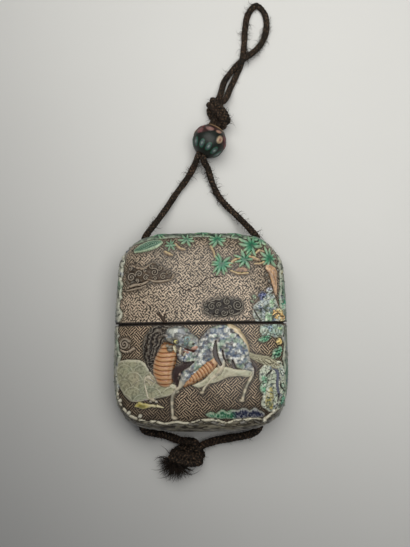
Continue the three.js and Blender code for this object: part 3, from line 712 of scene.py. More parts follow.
def shell(name, sign, collar, materials):
    """One section's hollow shell, its outside with lengths across and up it as a UV map in millimetres."""
    rows = shell_rows(sign, collar)
    points = np.stack([ring_of_case(*row[:3]) for row in rows])
    column, row = np.meshgrid(np.arange(AROUND), np.arange(len(rows) - 1))
    following = (column + 1) % AROUND
    corners = np.stack([row * AROUND + column, row * AROUND + following], axis=-1)
    corners = np.concatenate([corners, corners[..., ::-1] + AROUND], axis=-1).reshape(-1, 4)[:, ::sign]
    ends = [list(range(AROUND))[::-sign], list(range((len(rows) - 1) * AROUND, len(rows) * AROUND))[::sign]]
    piece = piece_from(name, points.reshape(-1, 3), [*corners.tolist(), *ends], materials)
    finish = np.array([row[3] for row in rows[1:]])
    shade = np.concatenate([np.repeat(finish, AROUND), [0, 2]])
    piece.data.polygons.foreach_set("material_index", shade.astype(np.int32))
    spread = np.array([max(1 - abs(row[0] / HALF_HEIGHT) ** OUTLINE_POWER, 0) ** (1 / OUTLINE_POWER)
                       for row in rows])
    up = np.interp(np.abs(points[..., 1]), end_curve[0], END_RUN) * np.sign(points[..., 1])
    around = RING[corners % AROUND]
    around[(around == 0) & (RING[corners[:, :1] % AROUND] > SIDE_LENGTH)] = 4 * SIDE_LENGTH
    behind = (around.mean(axis=1) > SIDE_LENGTH) & (around.mean(axis=1) < 3 * SIDE_LENGTH)
    around = np.where(behind[:, None], around - 2 * SIDE_LENGTH, around)
    around = np.where(~behind[:, None] & (around > 2 * SIDE_LENGTH), around - 4 * SIDE_LENGTH, around)
    lengths = np.stack([around * spread[corners // AROUND], up.reshape(-1)[corners]], axis=-1)
    layer = piece.data.uv_layers.new(name="surface")
    flat = np.zeros((len(piece.data.loops), 2))
    flat[: corners.size] = lengths.reshape(-1, 2)
    layer.data.foreach_set("uv", flat.ravel())
    return piece


def fret_finish(name, pitch, strokes_each, worn, ink, dark, light, stain):
    """Buff biscuit with a key-fret in brown slip: blocks of strokes at right angles, worn away in part."""
    gloss = {"Roughness": 0.42, "Specular_IOR_Level": 0.3, "Coat_Weight": 0.15, "Coat_Roughness": 0.3}
    material, tree, shader = blank_material(name, **gloss)
    uv = add(tree, "ShaderNodeUVMap", uv_map="surface").outputs["UV"]
    hand = noise(tree, uv, 0.8, 4.0, 0.7)
    shift = add(tree, "ShaderNodeVectorMath", {0: hand.outputs["Color"], 1: (0.5, 0.5, 0.5)},
                operation="SUBTRACT")
    shift = add(tree, "ShaderNodeVectorMath", {0: shift.outputs[0], "Scale": 0.7 + worn}, operation="SCALE")
    drawn = add(tree, "ShaderNodeVectorMath", {0: uv, 1: shift.outputs[0]}, operation="ADD")
    turned = {"Vector": drawn.outputs[0], "Rotation": (0, 0, math.radians(45)),
              "Scale": [1 / (pitch * strokes_each)] * 3}
    turned = add(tree, "ShaderNodeMapping", turned)
    place = add(tree, "ShaderNodeSeparateXYZ", {"Vector": turned.outputs["Vector"]})
    across, along = place.outputs["X"], place.outputs["Y"]
    blocks = maths(tree, "ADD", maths(tree, "FLOOR", across), maths(tree, "FLOOR", along))
    odd = maths(tree, "FLOORED_MODULO", blocks, 2.0)
    chosen = add(tree, "ShaderNodeMix", {"Factor": odd, "A": across, "B": along}, data_type="FLOAT")
    strokes = maths(tree, "MULTIPLY", chosen.outputs["Result"], float(strokes_each))
    wave = maths(tree, "MULTIPLY", maths(tree, "PINGPONG", strokes, 0.5), 2.0)
    wear = noise(tree, uv, 1.5, 3.0, 0.6)
    bare = maths(tree, "MULTIPLY", maths(tree, "SUBTRACT", wear.outputs["Fac"], 0.5), 3.0 * worn)
    level = maths(tree, "ADD", wave, bare)
    stroke = add(tree, "ShaderNodeMapRange", {"Value": level, "From Min": ink, "From Max": ink + 0.16})
    stroke = stroke.outputs["Result"]  # 0 in a dark stroke, 1 on the bare ground
    stains = noise(tree, uv, 0.95, 2.0, 0.6).outputs["Fac"]
    stain_and_shade = maths(tree, "MULTIPLY", maths(tree, "SUBTRACT", stains, 0.56, clamp=True), 12.0 * worn,
                  clamp=True)
    clouds = noise(tree, uv, 0.09, 3.0)
    up = add(tree, "ShaderNodeSeparateXYZ", {"Vector": uv}).outputs["Y"]
    # Large blotches of tone, and a ground that darkens towards both ends of the case: painted shade against
    # the lamp's stronger light on the lid's top.
    blotch_and_end_shade = maths(tree, "ADD", clouds.outputs["Fac"],
                 maths(tree, "MULTIPLY", maths(tree, "ABSOLUTE", up), 0.012))
    ground = ramp(tree, blotch_and_end_shade, [(0.55, light), (0.95, stain)])
    inked = mixed(tree, stroke, (*(value / 1000 for value in dark), 1), ground)
    # Painted shade on the ground next to the moulded forms, from how near each place is to one, mixed with
    # the dark stains.
    near = add(tree, "ShaderNodeAttribute", attribute_name="pool").outputs["Fac"]
    edge = maths(tree, "MULTIPLY", near, maths(tree, "ADD", stains, 0.25), clamp=True)
    stain_and_shade = maths(tree, "MAXIMUM", stain_and_shade, edge)
    surface(tree, shader, mixed(tree, stain_and_shade, inked, (0.030, 0.022, 0.016, 1)), stroke, 0.55, 0.00012)
    return material


def speckled_finish(name, base, speck, roughness, size):
    """A plain fired surface with small specks of another colour in it."""
    material, tree, shader = blank_material(name, Roughness=roughness, Specular_IOR_Level=0.4)
    grain = noise(tree, object_place(tree, size), 1.0, 5.0).outputs["Fac"]
    colour = ramp(tree, grain, [(0.30, speck), (0.46, base), (0.75, base)])
    surface(tree, shader, colour, grain, 0.3, 0.0001)
    return material


def tube_between(name, x, low, high, inner, outer, material, sides=40):
    """A tube along the case at a place across it."""
    angle = np.arange(sides) / sides * 2 * np.pi
    rings = []
    for radius, y in ((outer, low), (outer, high), (inner, high), (inner, low)):
        ring = np.stack([x + radius * np.cos(angle), np.full(sides, y), CHANNEL_Z + radius * np.sin(angle)],
                        axis=-1)
        rings.append(ring)
    return piece_from(name, np.concatenate(rings), wrapped(4, sides, True, True), [material])


def drilled(piece, cutters):
    """Cuts solids out of a piece, and deletes them."""
    for cutter in cutters:
        cut = piece.modifiers.new("hole", "BOOLEAN")
        cut.operation = "DIFFERENCE"
        cut.solver = "EXACT"
        cut.object = cutter
    evaluated = piece.evaluated_get(bpy.context.evaluated_depsgraph_get())
    mesh = bpy.data.meshes.new_from_object(evaluated)
    piece.modifiers.clear()
    piece.data = mesh
    for cutter in cutters:
        bpy.data.objects.remove(cutter)


def mouth(sign, side):
    """The solid that opens a cord hole in an end wall: a rod that flares out to the surface."""
    sides = 36
    angle = np.arange(sides) / sides * 2 * np.pi
    rings = []
    for radius, y in MOUTH:
        x, z = side * CHANNEL_X + radius * np.cos(angle), CHANNEL_Z + radius * np.sin(angle)
        rings.append(np.stack([x, np.full(sides, sign * y), z], axis=-1))
    ends = [range(sides), range(len(MOUTH) * sides - 1, (len(MOUTH) - 1) * sides - 1, -1)]
    faces = [list(face)[::sign] for face in [*ends, *wrapped(len(MOUTH) - 1, sides, True)]]
    return piece_from("mouth", np.concatenate(rings), faces, [])


LIP = 0.22  # the rounding of a section's rim
MOUTH = [  # radius and height of the solid that opens a cord hole
    (1.75, 29.0), (1.75, 32.2), (1.95, 33.0), (2.5, 33.9), (2.9, 34.6), (2.9, 40.0),
]
CHANNEL_RADIUS, CHANNEL_WALL = 1.75, 1.4
# The collar, its seat and the rounded rims of both sections are near black: painted shade for the joint
# between them.
joint_shade_finish = speckled_finish("collar_bisque", (30, 22, 17), (12, 9, 7), 0.7, 1.2)
lining = speckled_finish("pale_lining", (500, 490, 440), (230, 200, 160), 0.35, 1.6)
lid_fret = fret_finish("worn_fret", 0.86, 3, 1.0, 0.38, (22, 15, 9), (585, 462, 338), (330, 265, 190))
lower_fret = fret_finish("dark_fret", 0.80, 4, 0.35, 0.54, (4, 2, 1), (560, 425, 285), (205, 150, 96))
lid_shell = shell("lid_shell", 1, False, [lid_fret, joint_shade_finish, lining])
lower_shell = shell("lower_shell", -1, True, [lower_fret, joint_shade_finish, lining])
for piece, sign in ((lid_shell, 1), (lower_shell, -1)):
    drilled(piece, [mouth(sign, side) for side in (-1, 1)])
dressed(lid_shell, "lid_porcelain", "lid")
dressed(lower_shell, "case_porcelain", "lower_case")
for side, hand in ((-1, "left"), (1, "right")):
    x = side * CHANNEL_X
    joint = JOINT_Y + JOINT_SLOPE * x
    outer = CHANNEL_RADIUS + CHANNEL_WALL
    high = tube_between(f"lid_channel_{hand}", x, joint + 1, 32.6, CHANNEL_RADIUS, outer, lining)
    low = tube_between(f"lower_channel_{hand}", x, -32.6, joint - 1, CHANNEL_RADIUS, outer, lining)
    dressed(high, "lid_porcelain")
    dressed(low, "case_porcelain")

# ---------------------------------------------------------------------------------------------
# The moulded borders: rocks and moss that frame the face and run round the side walls of both
# sections, pressed in the mould with the walls and filled with green, grey and blue enamel.
CUT = 0.12  # from a section's rim to the end of its relief
SUNK = 0.45  # how deep a relief's underside lies in the wall
NOWHERE = -9.0  # a height so low that no form shows there
DIVE = 1.6  # how steeply a form goes down into the wall past its edge
CLEARANCE = 0.02  # of every relief over the table
NOISE_CELLS = 64  # a side of the table of random numbers, after which noise repeats
BORDER_START = 29.6  # across the face, at half its height
BORDER_END = 26.5  # across the back
JOINT_STEP = {"lid": 1, "lower": -1}


def lattice(u, v, size, seed):
    """Smooth noise, 0 to 1, over lengths, with features of a size."""
    shuffled = np.random.default_rng(seed).random((NOISE_CELLS, NOISE_CELLS))
    x, y = np.asarray(u) / size, np.asarray(v) / size
    i, j = np.floor(x).astype(int), np.floor(y).astype(int)
    s, t = x - i, y - j
    s, t = s * s * (3 - 2 * s), t * t * (3 - 2 * t)
    corner = [[shuffled[(i + a) % NOISE_CELLS, (j + b) % NOISE_CELLS] for b in (0, 1)] for a in (0, 1)]
    low = corner[0][0] + (corner[1][0] - corner[0][0]) * s
    high = corner[0][1] + (corner[1][1] - corner[0][1]) * s
    return low + (high - low) * t


def rough(u, v, size, seed):
    """Smooth noise of three sizes together, 0 to 1."""
    parts = [lattice(u, v, size / 2**k, seed + k) * 0.5**k for k in range(3)]
    return sum(parts) / 1.75


def uneven(u, v, size, seed, swing):
    """Noise about nought, whose whole swing is given."""
    return swing * (rough(u, v, size, seed) - 0.5)


def spots(u, v, size, seed, level, steep, most=1):
    """Shares of spots where the noise is above a level, from 0 to the most, at a steepness."""
    return np.clip((rough(u, v, size, seed) - level) * steep, 0, most)


def cells(u, v, size, seed):
    """Distance from each place to the nearest of scattered middles, and how much further the next is."""
    draw = np.random.default_rng(seed).random((NOISE_CELLS, NOISE_CELLS, 2))
    i, j = np.floor(u / size).astype(int), np.floor(v / size).astype(int)
    first = np.full(np.shape(u), 9.0)
    second = first.copy()
    for a in (-1, 0, 1):
        for b in (-1, 0, 1):
            middle = draw[(i + a) % NOISE_CELLS, (j + b) % NOISE_CELLS]
            away = np.hypot(u / size - i - a - middle[..., 0], v / size - j - b - middle[..., 1])
            second = np.minimum(second, np.maximum(first, away))
            first = np.minimum(first, away)
    return first * size, (second - first) * size


def dome(share, height):
    """A rounded height over a share of the way to an edge, that dives into the wall past the edge."""
    return np.where(share < 1, height * np.sqrt(unit(1 - share**2)), -DIVE * (share - 1) * max(height, 0.5))


def lump(u, v, x, y, half_u, half_v, height, turn=0.0):
    """A rounded mound: its middle, half sizes and height, turned by degrees."""
    c, s = math.cos(math.radians(turn)), math.sin(math.radians(turn))
    a, b = u - x, v - y
    return dome(np.hypot((a * c + b * s) / half_u, (b * c - a * s) / half_v), height)


def limb(u, v, rows, flat=0.8, step=0.8):
    """A rounded limb through rows of place, radius and lift: height, length along it, share across it."""
    rows = [(*row, 0.0)[:4] for row in rows]
    line = smooth_path(rows, step)
    height = np.full(np.shape(u), NOWHERE)
    along, across = np.zeros(np.shape(u)), np.zeros(np.shape(u))
    run = 0.0
    for one, other in zip(line[:-1], line[1:]):
        step_u, step_v = other[:2] - one[:2]
        length = math.hypot(step_u, step_v)
        share = unit(((u - one[0]) * step_u + (v - one[1]) * step_v) / length**2)
        aside = (u - one[0]) * step_v - (v - one[1]) * step_u
        away = np.hypot(u - one[0] - share * step_u, v - one[1] - share * step_v)
        radius, lift = (one[k] + share * (other[k] - one[k]) for k in (2, 3))
        inside = lift + flat * radius * np.sqrt(unit(1 - (away / radius) ** 2))
        here = np.where(away < radius, inside, lift - DIVE * (away - radius))
        better = here > height
        height = np.where(better, here, height)
        along = np.where(better, run + share * length, along)
        across = np.where(better, np.sign(aside) * away / radius, across)
        run += length
    return height, along, across


def spiral(u, v, x, y, radius, bar, turns, start, hand, height=0.5):
    """A bar of clay coiled in to its middle: height."""
    angles = np.linspace(0, turns * 2 * np.pi, int(turns * 14) + 2)
    share = angles / angles[-1]
    out = radius * (1 - 0.86 * share)
    rows = [
        (x + r * math.cos(start + hand * a), y + r * math.sin(start + hand * a), bar * (1 - 0.3 * s), 0)
        for r, a, s in zip(out, angles, share)
    ]
    return limb(u, v, rows, flat=height / bar, step=0.5)[0]


def smooth_max(one, other, soft):
    """The higher of two heights, with the corner between them filled in."""
    share = unit(0.5 + 0.5 * (one - other) / soft)
    return other + (one - other) * share + soft * share * (1 - share)


def area(u, v, outline, soft):
    """How far inside a closed outline each place is, in lengths, with negative numbers outside it."""
    points = smooth_path([*outline, outline[0]], soft)
    away = np.full(np.shape(u), 99.0)
    odd = np.zeros(np.shape(u), dtype=bool)
    for one, other in zip(points[:-1], points[1:]):
        du, dv = other - one
        share = unit(((u - one[0]) * du + (v - one[1]) * dv) / (du * du + dv * dv + 1e-12))
        away = np.minimum(away, np.hypot(u - one[0] - share * du, v - one[1] - share * dv))
        crosses = (one[1] > v) != (other[1] > v)
        odd ^= crosses & (u < one[0] + (v - one[1]) * du / (dv if dv else 1e-12))
    return np.where(odd, away, -away)


def slab(inside, height, edge):
    """A flat-topped height with a rounded edge of a width, from how far inside an outline a place is."""
    rise = unit(inside / edge)
    return np.where(inside > 0, height * np.sqrt(1 - (1 - rise) ** 2), DIVE * inside)


def eased(height, steps):
    """A height evened out with its neighbours' on the grid, some steps to each side."""
    for axis in (0, 1):
        padded = np.pad(height, [(steps, steps) if axis == k else (0, 0) for k in (0, 1)], mode="edge")
        total = np.cumsum(np.insert(padded, 0, 0, axis=axis), axis=axis)
        size = height.shape[axis]
        width = 2 * steps + 1
        past, before = np.take(total, range(width, width + size), axis), np.take(total, range(size), axis)
        height = (past - before) / width
    return height


class Relief:
    """Moulded relief on one section: a grid of places on its outside, with a height and a colour at each."""

    def __init__(self, section, low, high, step, colour=(90, 80, 66)):
        self.section = section
        side = JOINT_STEP[section]
        columns = np.arange(low[0], high[0] + step, step)
        middle = on_case(columns, 0 * columns, 0)[:, 0]
        rim = JOINT_Y + JOINT_SLOPE * middle + side * (JOINT_GAP / 2 + CUT)
        far = high[1] - rim.min() if side > 0 else rim.max() - low[1]
        near = max((low[1] - rim.max()) if side > 0 else (rim.min() - high[1]), 0)
        rows = np.arange(near, far + step, step)
        self.u, down = np.meshgrid(columns, rows)
        self.v = rim[None, :] + side * down
        self.v = np.clip(self.v, -END_RUN[-1] + 0.05, END_RUN[-1] - 0.05)
        self.step = step
        self.height = np.full(self.u.shape, -SUNK - 0.2)
        self.colours = np.tile(linear(colour), (*self.u.shape, 1))

    def place(self):
        """The lengths across and up of every place of the grid."""
        return self.u, self.v

    def put(self, height, colour=None, soft=0.12):
        """Adds a form, and its colour where it is the highest."""
        if colour is not None:
            self.paint(unit((height - self.height) / 0.12 + 0.5) * (height > -SUNK), colour)
        self.height = smooth_max(height, self.height, soft)

    def add_on(self, x, y, half_u, half_v, rise, turn, colour):
        """Adds a small rounded form, or a dent where its rise is negative, on what is there."""
        height = lump(self.u, self.v, x, y, half_u, half_v, 1.0, turn)
        self.height += rise * unit(height)
        self.paint(unit(height * 3), colour)

    def paint(self, share, colour):
        """Lays a display colour, or one for each place, over a share of each place."""
        self.colours = blend(self.colours, linear(colour), share)

    def cut(self, height):
        """Hollows the relief down to a height."""
        self.height = np.minimum(self.height, height)

    def paint_shade_and_edge_light(self, colour, strength, reach=0.5, depth=0.18):
        """Paints shade into the hollows in a dark colour, and a pale highlight on the high edges."""
        steps = max(int(reach / self.step), 1)
        hollow = eased(eased(self.height, steps), steps) - self.height
        self.paint(unit(hollow / depth) * strength, colour)
        self.paint(unit(-hollow / depth) * 0.22, (238, 232, 214))

    def piece(self, name, material, slot):
        """The finished relief as a closed mesh, its underside sunk in the wall."""
        keep = self.height > -SUNK
        whole = keep[:-1, :-1] & keep[1:, :-1] & keep[:-1, 1:] & keep[1:, 1:]
        for _ in range(4):  # cells that meet only at a corner are joined
            nought = whole[:-1, :-1] & whole[1:, 1:] & ~whole[1:, :-1] & ~whole[:-1, 1:]
            cross = ~whole[:-1, :-1] & ~whole[1:, 1:] & whole[1:, :-1] & whole[:-1, 1:]
            whole[1:, :-1] |= nought
            whole[:-1, :-1] |= cross
        used = np.zeros(self.height.shape, dtype=bool)
        for a in (0, 1):
            for b in (0, 1):
                used[a : a + whole.shape[0], b : b + whole.shape[1]] |= whole
        count = int(used.sum())
        number = np.full(used.shape, -1)
        number[used] = np.arange(count)
        top = on_case(self.u[used], self.v[used], np.maximum(self.height[used], -SUNK))
        foot = on_case(self.u[used], self.v[used], np.full(count, -SUNK - 0.1))
        for points in (top, foot):
            points[:, 2] = np.maximum(points[:, 2], CLEARANCE)
        ahead = JOINT_STEP[self.section]
        row, column = np.nonzero(whole)
        quads = np.stack([number[row, column], number[row, column + 1], number[row + 1, column + 1],
                          number[row + 1, column]], axis=1)
        quads = quads[:, ::ahead]
        walls = []
        edge = np.pad(whole, 1)
        for a, b, first, second in (
            (-1, 0, (0, 0), (0, 1)),
            (1, 0, (1, 1), (1, 0)),
            (0, -1, (1, 0), (0, 0)),
            (0, 1, (0, 1), (1, 1)),
        ):
            open_side = ~edge[row + 1 + a, column + 1 + b]
            one = number[row[open_side] + first[0], column[open_side] + first[1]]
            other = number[row[open_side] + second[0], column[open_side] + second[1]]
            walls.append(np.stack([other, one, one + count, other + count], axis=1)[:, ::ahead])
        faces = np.concatenate([quads, quads[:, ::-1] + count, *walls])
        piece = piece_from(name, np.concatenate([top, foot]), faces.tolist(), [material])
        colour_points(piece, np.concatenate([self.colours[used]] * 2))
        LAID.append((self.section, piece))
        return dressed(piece, slot)


LAID = []  # every relief with the section it is on
SLOT = {"lid": "lid_porcelain", "lower": "case_porcelain"}
moss_enamel = enamel_material("moss_enamel", 0.36, 1.3, 0.22, 0.5)
for section, low, high in (("lid", 3.0, 41.5), ("lower", -41.5, 2.0)):
    for side, hand in ((-1, "left"), (1, "right")):
        far = 2 * SIDE_LENGTH - BORDER_END - 0.5
        reach = sorted((side * (BORDER_START - 3), side * far))
        relief = Relief(section, (reach[0], low), (reach[1], high), 0.24,
                        (88, 98, 80) if side > 0 else (116, 122, 104))
        u, v = relief.place()
        place = on_case(u, v, 0)
        seed = 11 + side
        inner = BORDER_START - 0.3 + 1.5 * (lattice(0 * v, v, 5.0, seed) - 0.5)
        inner = inner + 0.9 * (lattice(0 * v, v, 1.7, seed + 3) - 0.5)
        past = np.abs(place[..., 0]) - (inner - TAPER * v)
        inside = np.where(place[..., 2] > MIDDLE_Z, past * 1.5, 3.0)
        behind = BORDER_END + 2 * (lattice(v, 0 * v, 4.0, seed + 9) - 0.5)
        inside = np.minimum(inside, np.where(place[..., 2] < MIDDLE_Z, np.abs(place[..., 0]) - behind, 9))
        seams = cells(u + 0.8 * rough(u, v, 2, 5), v, 3.1, seed + 2)[1]
        bulge = 0.32 + 0.50 * unit(seams / 0.9) ** 0.6 + uneven(u, v, 2.4, seed + 6, 0.35)
        bulge = bulge * (1 - 0.8 * unit((np.abs(place[..., 0]) - BORDER_START) / 1.4))
        relief.put(np.minimum(slab(inside, 1.0, 0.7), bulge))
        for colour, size, shift, level, steep in (
            ((172, 172, 154) if side < 0 else (104, 116, 98), 3.6, 7, 0.38, 6),
            ((40, 100, 72), 4.0, 8, 0.55 if side < 0 else 0.44, 7),
            ((62, 78, 104), 3.0, 12, 0.66, 8),
            ((150, 138, 84), 2.4, 15, 0.70, 8),
        ):
            relief.paint(spots(u, v, size, seed + shift, level, steep), colour)
        relief.paint(unit((lattice(u, v, 0.9, seed + 20) - 0.72) * 9) * 0.9, (26, 30, 24))
        relief.paint(unit(1 - np.abs(inside - 0.35) / 0.4) * 0.55, (176, 180, 160))
        # A near-black band along the rim: painted shade that carries the joint's shadow across the border.
        relief.paint(unit((0.5 - np.abs(v - v[:1])) / 0.15), (20, 16, 12))
        # Painted shade in the hollows and a painted highlight on the high edges.
        relief.paint_shade_and_edge_light((24, 26, 18), 0.95, 0.5, 0.14)
        relief.piece(f"{section}_border_{hand}", moss_enamel, SLOT[section])

# ---------------------------------------------------------------------------------------------
# The kirin: the figure of the lower section, pressed in the mould in high relief and sharpened by
# hand. Its coat is white with blue dapples, its neck and belly plates apricot; its hollows are painted
# dark maroon as shade.
COAT_ROWS = {  # rows of place across and up, radius and lift
    "far_hind_leg": [(7.2, -8.5, 2.46, 0), (7.1, -12, 1.61, 0.1), (6.6, -14.5, 1.09, 0.3),
                     (3.8, -16.8, 0.71, 0.3), (1.6, -19.5, 0.52, 0.3), (0.6, -21.2, 0.47, 0.3)],
    "far_foreleg": [(-14.1, -18.1, 1.23, 0), (-16.8, -16.9, 1.13, 0.2), (-18.9, -16.4, 0.85, 0.3),
                    (-19.6, -17.6, 0.61, 0.3), (-19, -20.8, 0.47, 0.4), (-18.3, -23.6, 0.43, 0.4)],
    "torso": [(-4.9, -16, 2.08, 0.2), (-1.7, -12.1, 2.83, 0.3), (1.9, -7.3, 4.06, 0.3),
              (5.6, -3.4, 4.63, 0.3), (9.2, -3.2, 4.91, 0.3), (12.4, -6.2, 4.35, 0.2)],
    "haunch": [(10.7, -3.5, 3.59, 1), (12.5, -7.1, 4.06, 0.8), (14.2, -10.4, 2.93, 0.5),
               (16.5, -12.5, 1.42, 0.5)],
    "near_hind_leg": [(16.5, -12.5, 1.42, 0.5), (18.4, -14.2, 0.9, 0.5), (17.5, -16.8, 0.59, 0.5),
                      (16, -19.3, 0.47, 0.5), (15, -22.2, 0.43, 0.5), (14.5, -23.9, 0.47, 0.4)],
    "shoulder": [(0.4, -8, 2.55, 1.1), (-1.7, -11.8, 2.27, 1), (-4.7, -15.5, 1.8, 0.8)],
    "near_foreleg": [(-4.7, -15.8, 1.89, 0.5), (-6.7, -18.5, 1.32, 0.5), (-8.6, -20.9, 0.8, 0.5),
                     (-9.8, -23.1, 0.57, 0.5), (-9.9, -26.5, 0.43, 0.5), (-9.7, -29.8, 0.43, 0.4)],
}
HOOVES = [(0.4, -21.7, 0.9, 0.6, 10), (-16.8, -24.2, 1.3, 0.7, -20), (14.2, -24.5, 1.0, 0.7, 0),
          (-9.2, -30.6, 1.2, 0.7, -15)]
NECK = [(-11.3, -7.3, 2.93, 0.9), (-12.4, -9.9, 3.4, 0.8), (-13.2, -13.3, 3.5, 0.7),
        (-12.9, -16.3, 3.12, 0.5), (-12.3, -17.6, 2.27, 0.4)]
PLATE_PITCH = 1.56
BELLY = [(-5.7, -18.5, 0.94, 0.6), (-3, -16.7, 1.42, 0.8), (-0.6, -15, 1.7, 0.8), (3.2, -12.1, 1.75, 0.8),
         (5.4, -10.2, 1.23, 0.7)]
NAPE = [(-7.7, -3.5, 2.27, 0.5), (-6.4, -8, 2.17, 0.6), (-3.6, -9.4, 2.17, 0.6)]
HEAD = [(-10.2, -1.9, 2.27, 1.3), (-7.8, -2.2, 2.93, 1.4), (-4.9, -3.7, 2.36, 1.5), (-2.8, -4.8, 1.8, 1.4),
        (-1.7, -5.6, 1.32, 1.2)]
HOLLOWS = [  # rows of place and half width of the hollows, painted dark maroon as shade
    [(-2.6, -10.9, 0.3), (-4.5, -11.9, 0.9), (-6.9, -12.9, 1.3), (-8.6, -14.3, 1.25), (-8.9, -16.2, 1.1),
     (-8.5, -18.1, 0.9), (-8.2, -19.3, 0.4)],
    [(18.6, -11.3, 0.3), (19.4, -12.9, 0.8), (18.9, -15.2, 0.4)],
    [(-16.6, -10.6, 0.3), (-17.2, -13.4, 0.45), (-16.8, -16.0, 0.6), (-15.6, -17.9, 0.35)],
    [(5.3, -3.6, 0.24), (5, -6.5, 0.71), (5.3, -9, 0.8), (6.8, -11.8, 0.52)],
    [(7.6, -6.9, 0.14), (7.9, -9, 0.3), (8.7, -10.8, 0.28)],
    [(11, -10.4, 0.19), (11.5, -12.5, 0.66), (12.1, -13.5, 0.52), (14.2, -13.8, 0.24)],
]


def flecked(colours, u, v, marks):
    """Colours with spots of others over them: each has a colour, size, seed, level, steepness and most."""
    for colour, *mark in marks:
        colours = blend(colours, colour, spots(u, v, *mark))
    return colours


def dappled(u, v):
    """The coat's dapples: a height to add, and a display colour at each place."""
    away = cells(u + 0.9 * rough(u, v, 1.1, 3), v + 0.9 * rough(u, v, 1.3, 4), 1.4, 41)[0]
    swell = unit(1.25 - (away / 0.85) ** 2)
    white = flecked((164, 166, 156), u, v, [((220, 220, 212), 1.2, 13, 0.36, 5)])
    grey = flecked((112, 118, 118), u, v, [((84, 96, 120), 2.4, 17, 0.46, 5)])
    marks = [((88, 102, 122), 1.0, 19, 0.52, 6, 0.8), ((60, 54, 58), 1.5, 23, 0.58, 7, 0.55),
             ((126, 152, 126), 1.8, 29, 0.60, 7, 0.7)]
    colours = flecked(blend(grey, white, swell), u, v, marks)
    return 0.20 * swell + uneven(u, v, 0.7, 37, 0.34) - 0.05, colours


def plated(place):
    """Apricot plates one over the next: a height to add, and a display colour, from a count of plates."""
    share = place % 1
    swell = np.sqrt(unit(1 - (2 * share - 1) ** 2)) * (0.75 + 0.25 * share)
    colours = blend((124, 68, 34), (180, 126, 78), unit(swell * 2.6 - 0.8))
    colours = blend(colours, (196, 162, 116), unit((share - 0.45) * 3) * unit(swell * 2 - 1) * 0.8)
    return 0.42 * swell - 0.2, colours


kirin_enamel = enamel_material("kirin_enamel", 0.33, 0.9, 0.10, 0.35, coat=0.45)
relief = Relief("lower", (-24.6, -34.6), (23.0, 2.2), 0.165, (170, 172, 164))
u, v = relief.place()
bumps, coat = dappled(u, v)
legs_tone = flecked((188, 176, 150), u, v, [((104, 100, 84), 1.4, 5, 0.4, 4)])
for part, rows in COAT_ROWS.items():
    slim = "leg" in part
    slender = []
    for x, y, radius, lift in rows:
        share = 0.74 if slim and radius < 1.0 else 0.9 if slim else 1.0
        slender.append((x, y, radius * share, lift))
    height, along, across = limb(u, v, slender, flat=0.9 if slim else 0.45)
    if slim:
        legs = blend(legs_tone, coat, unit(1 - along / 4.5))
        relief.put(height + 0.3 * bumps * unit(1 - along / 6), legs, 0.25)
    else:
        relief.put(height + bumps, coat, 0.4)
for x, y, wide, high, turn in HOOVES:
    relief.put(lump(u, v, x, y, wide, high, 1.1, turn), (150, 136, 110), 0.12)
relief.put(limb(u, v, NAPE, 0.45)[0] + bumps, coat, 0.4)
height, along, across = limb(u, v, BELLY, 0.6)
ribs, apricot = plated((along + 0.3 * across**2) / 1.15)
relief.put(height + ribs, apricot, 0.1)
share = (u + 13.0) / 3.5
sag = 1.1 * unit(-share - 0.05) ** 1.4 + 0.3 * unit(share) ** 2
ribs, apricot = plated((sag - v) / PLATE_PITCH)
relief.put(limb(u, v, NECK, 0.6)[0] + ribs, apricot, 0.08)
relief.put(lump(u, v, -7.8, -15.4, 1.0, 0.6, 1.0, 10), (150, 124, 118), 0.1)
RIDGE = [(10.2, 1.3, 0.4, 1.9), (12.8, -0.4, 0.5, 1.8), (15, -3.5, 0.6, 1.5), (16.3, -6.7, 0.6, 1.1),
         (16.4, -9.3, 0.4, 0.7)]
relief.put(limb(u, v, RIDGE, 0.7)[0] - 0.3, (206, 186, 150), 0.2)
for rows in HOLLOWS:
    pit = limb(u, v, [(x, y, half, 0) for x, y, half in rows], 1, 0.5)[0] + uneven(u, v, 1.2, 19, 0.5)
    relief.cut(np.where(pit > 0, 0.10, 9.0))
    relief.height = np.where(pit > 0, np.maximum(relief.height, 0.08), relief.height)
    # The hollows are painted dark maroon with a brown rim: painted shade for their depth.
    relief.paint(unit(pit / 0.2 + 0.7), (46, 11, 12))
    relief.paint(unit(1 - np.abs(pit + 0.18) / 0.2) * 0.6, (112, 60, 48))
relief.put(limb(u, v, HEAD, 0.5)[0] + 0.45 * bumps, blend(coat, (150, 152, 146), np.full(u.shape, 0.35)),
           0.15)
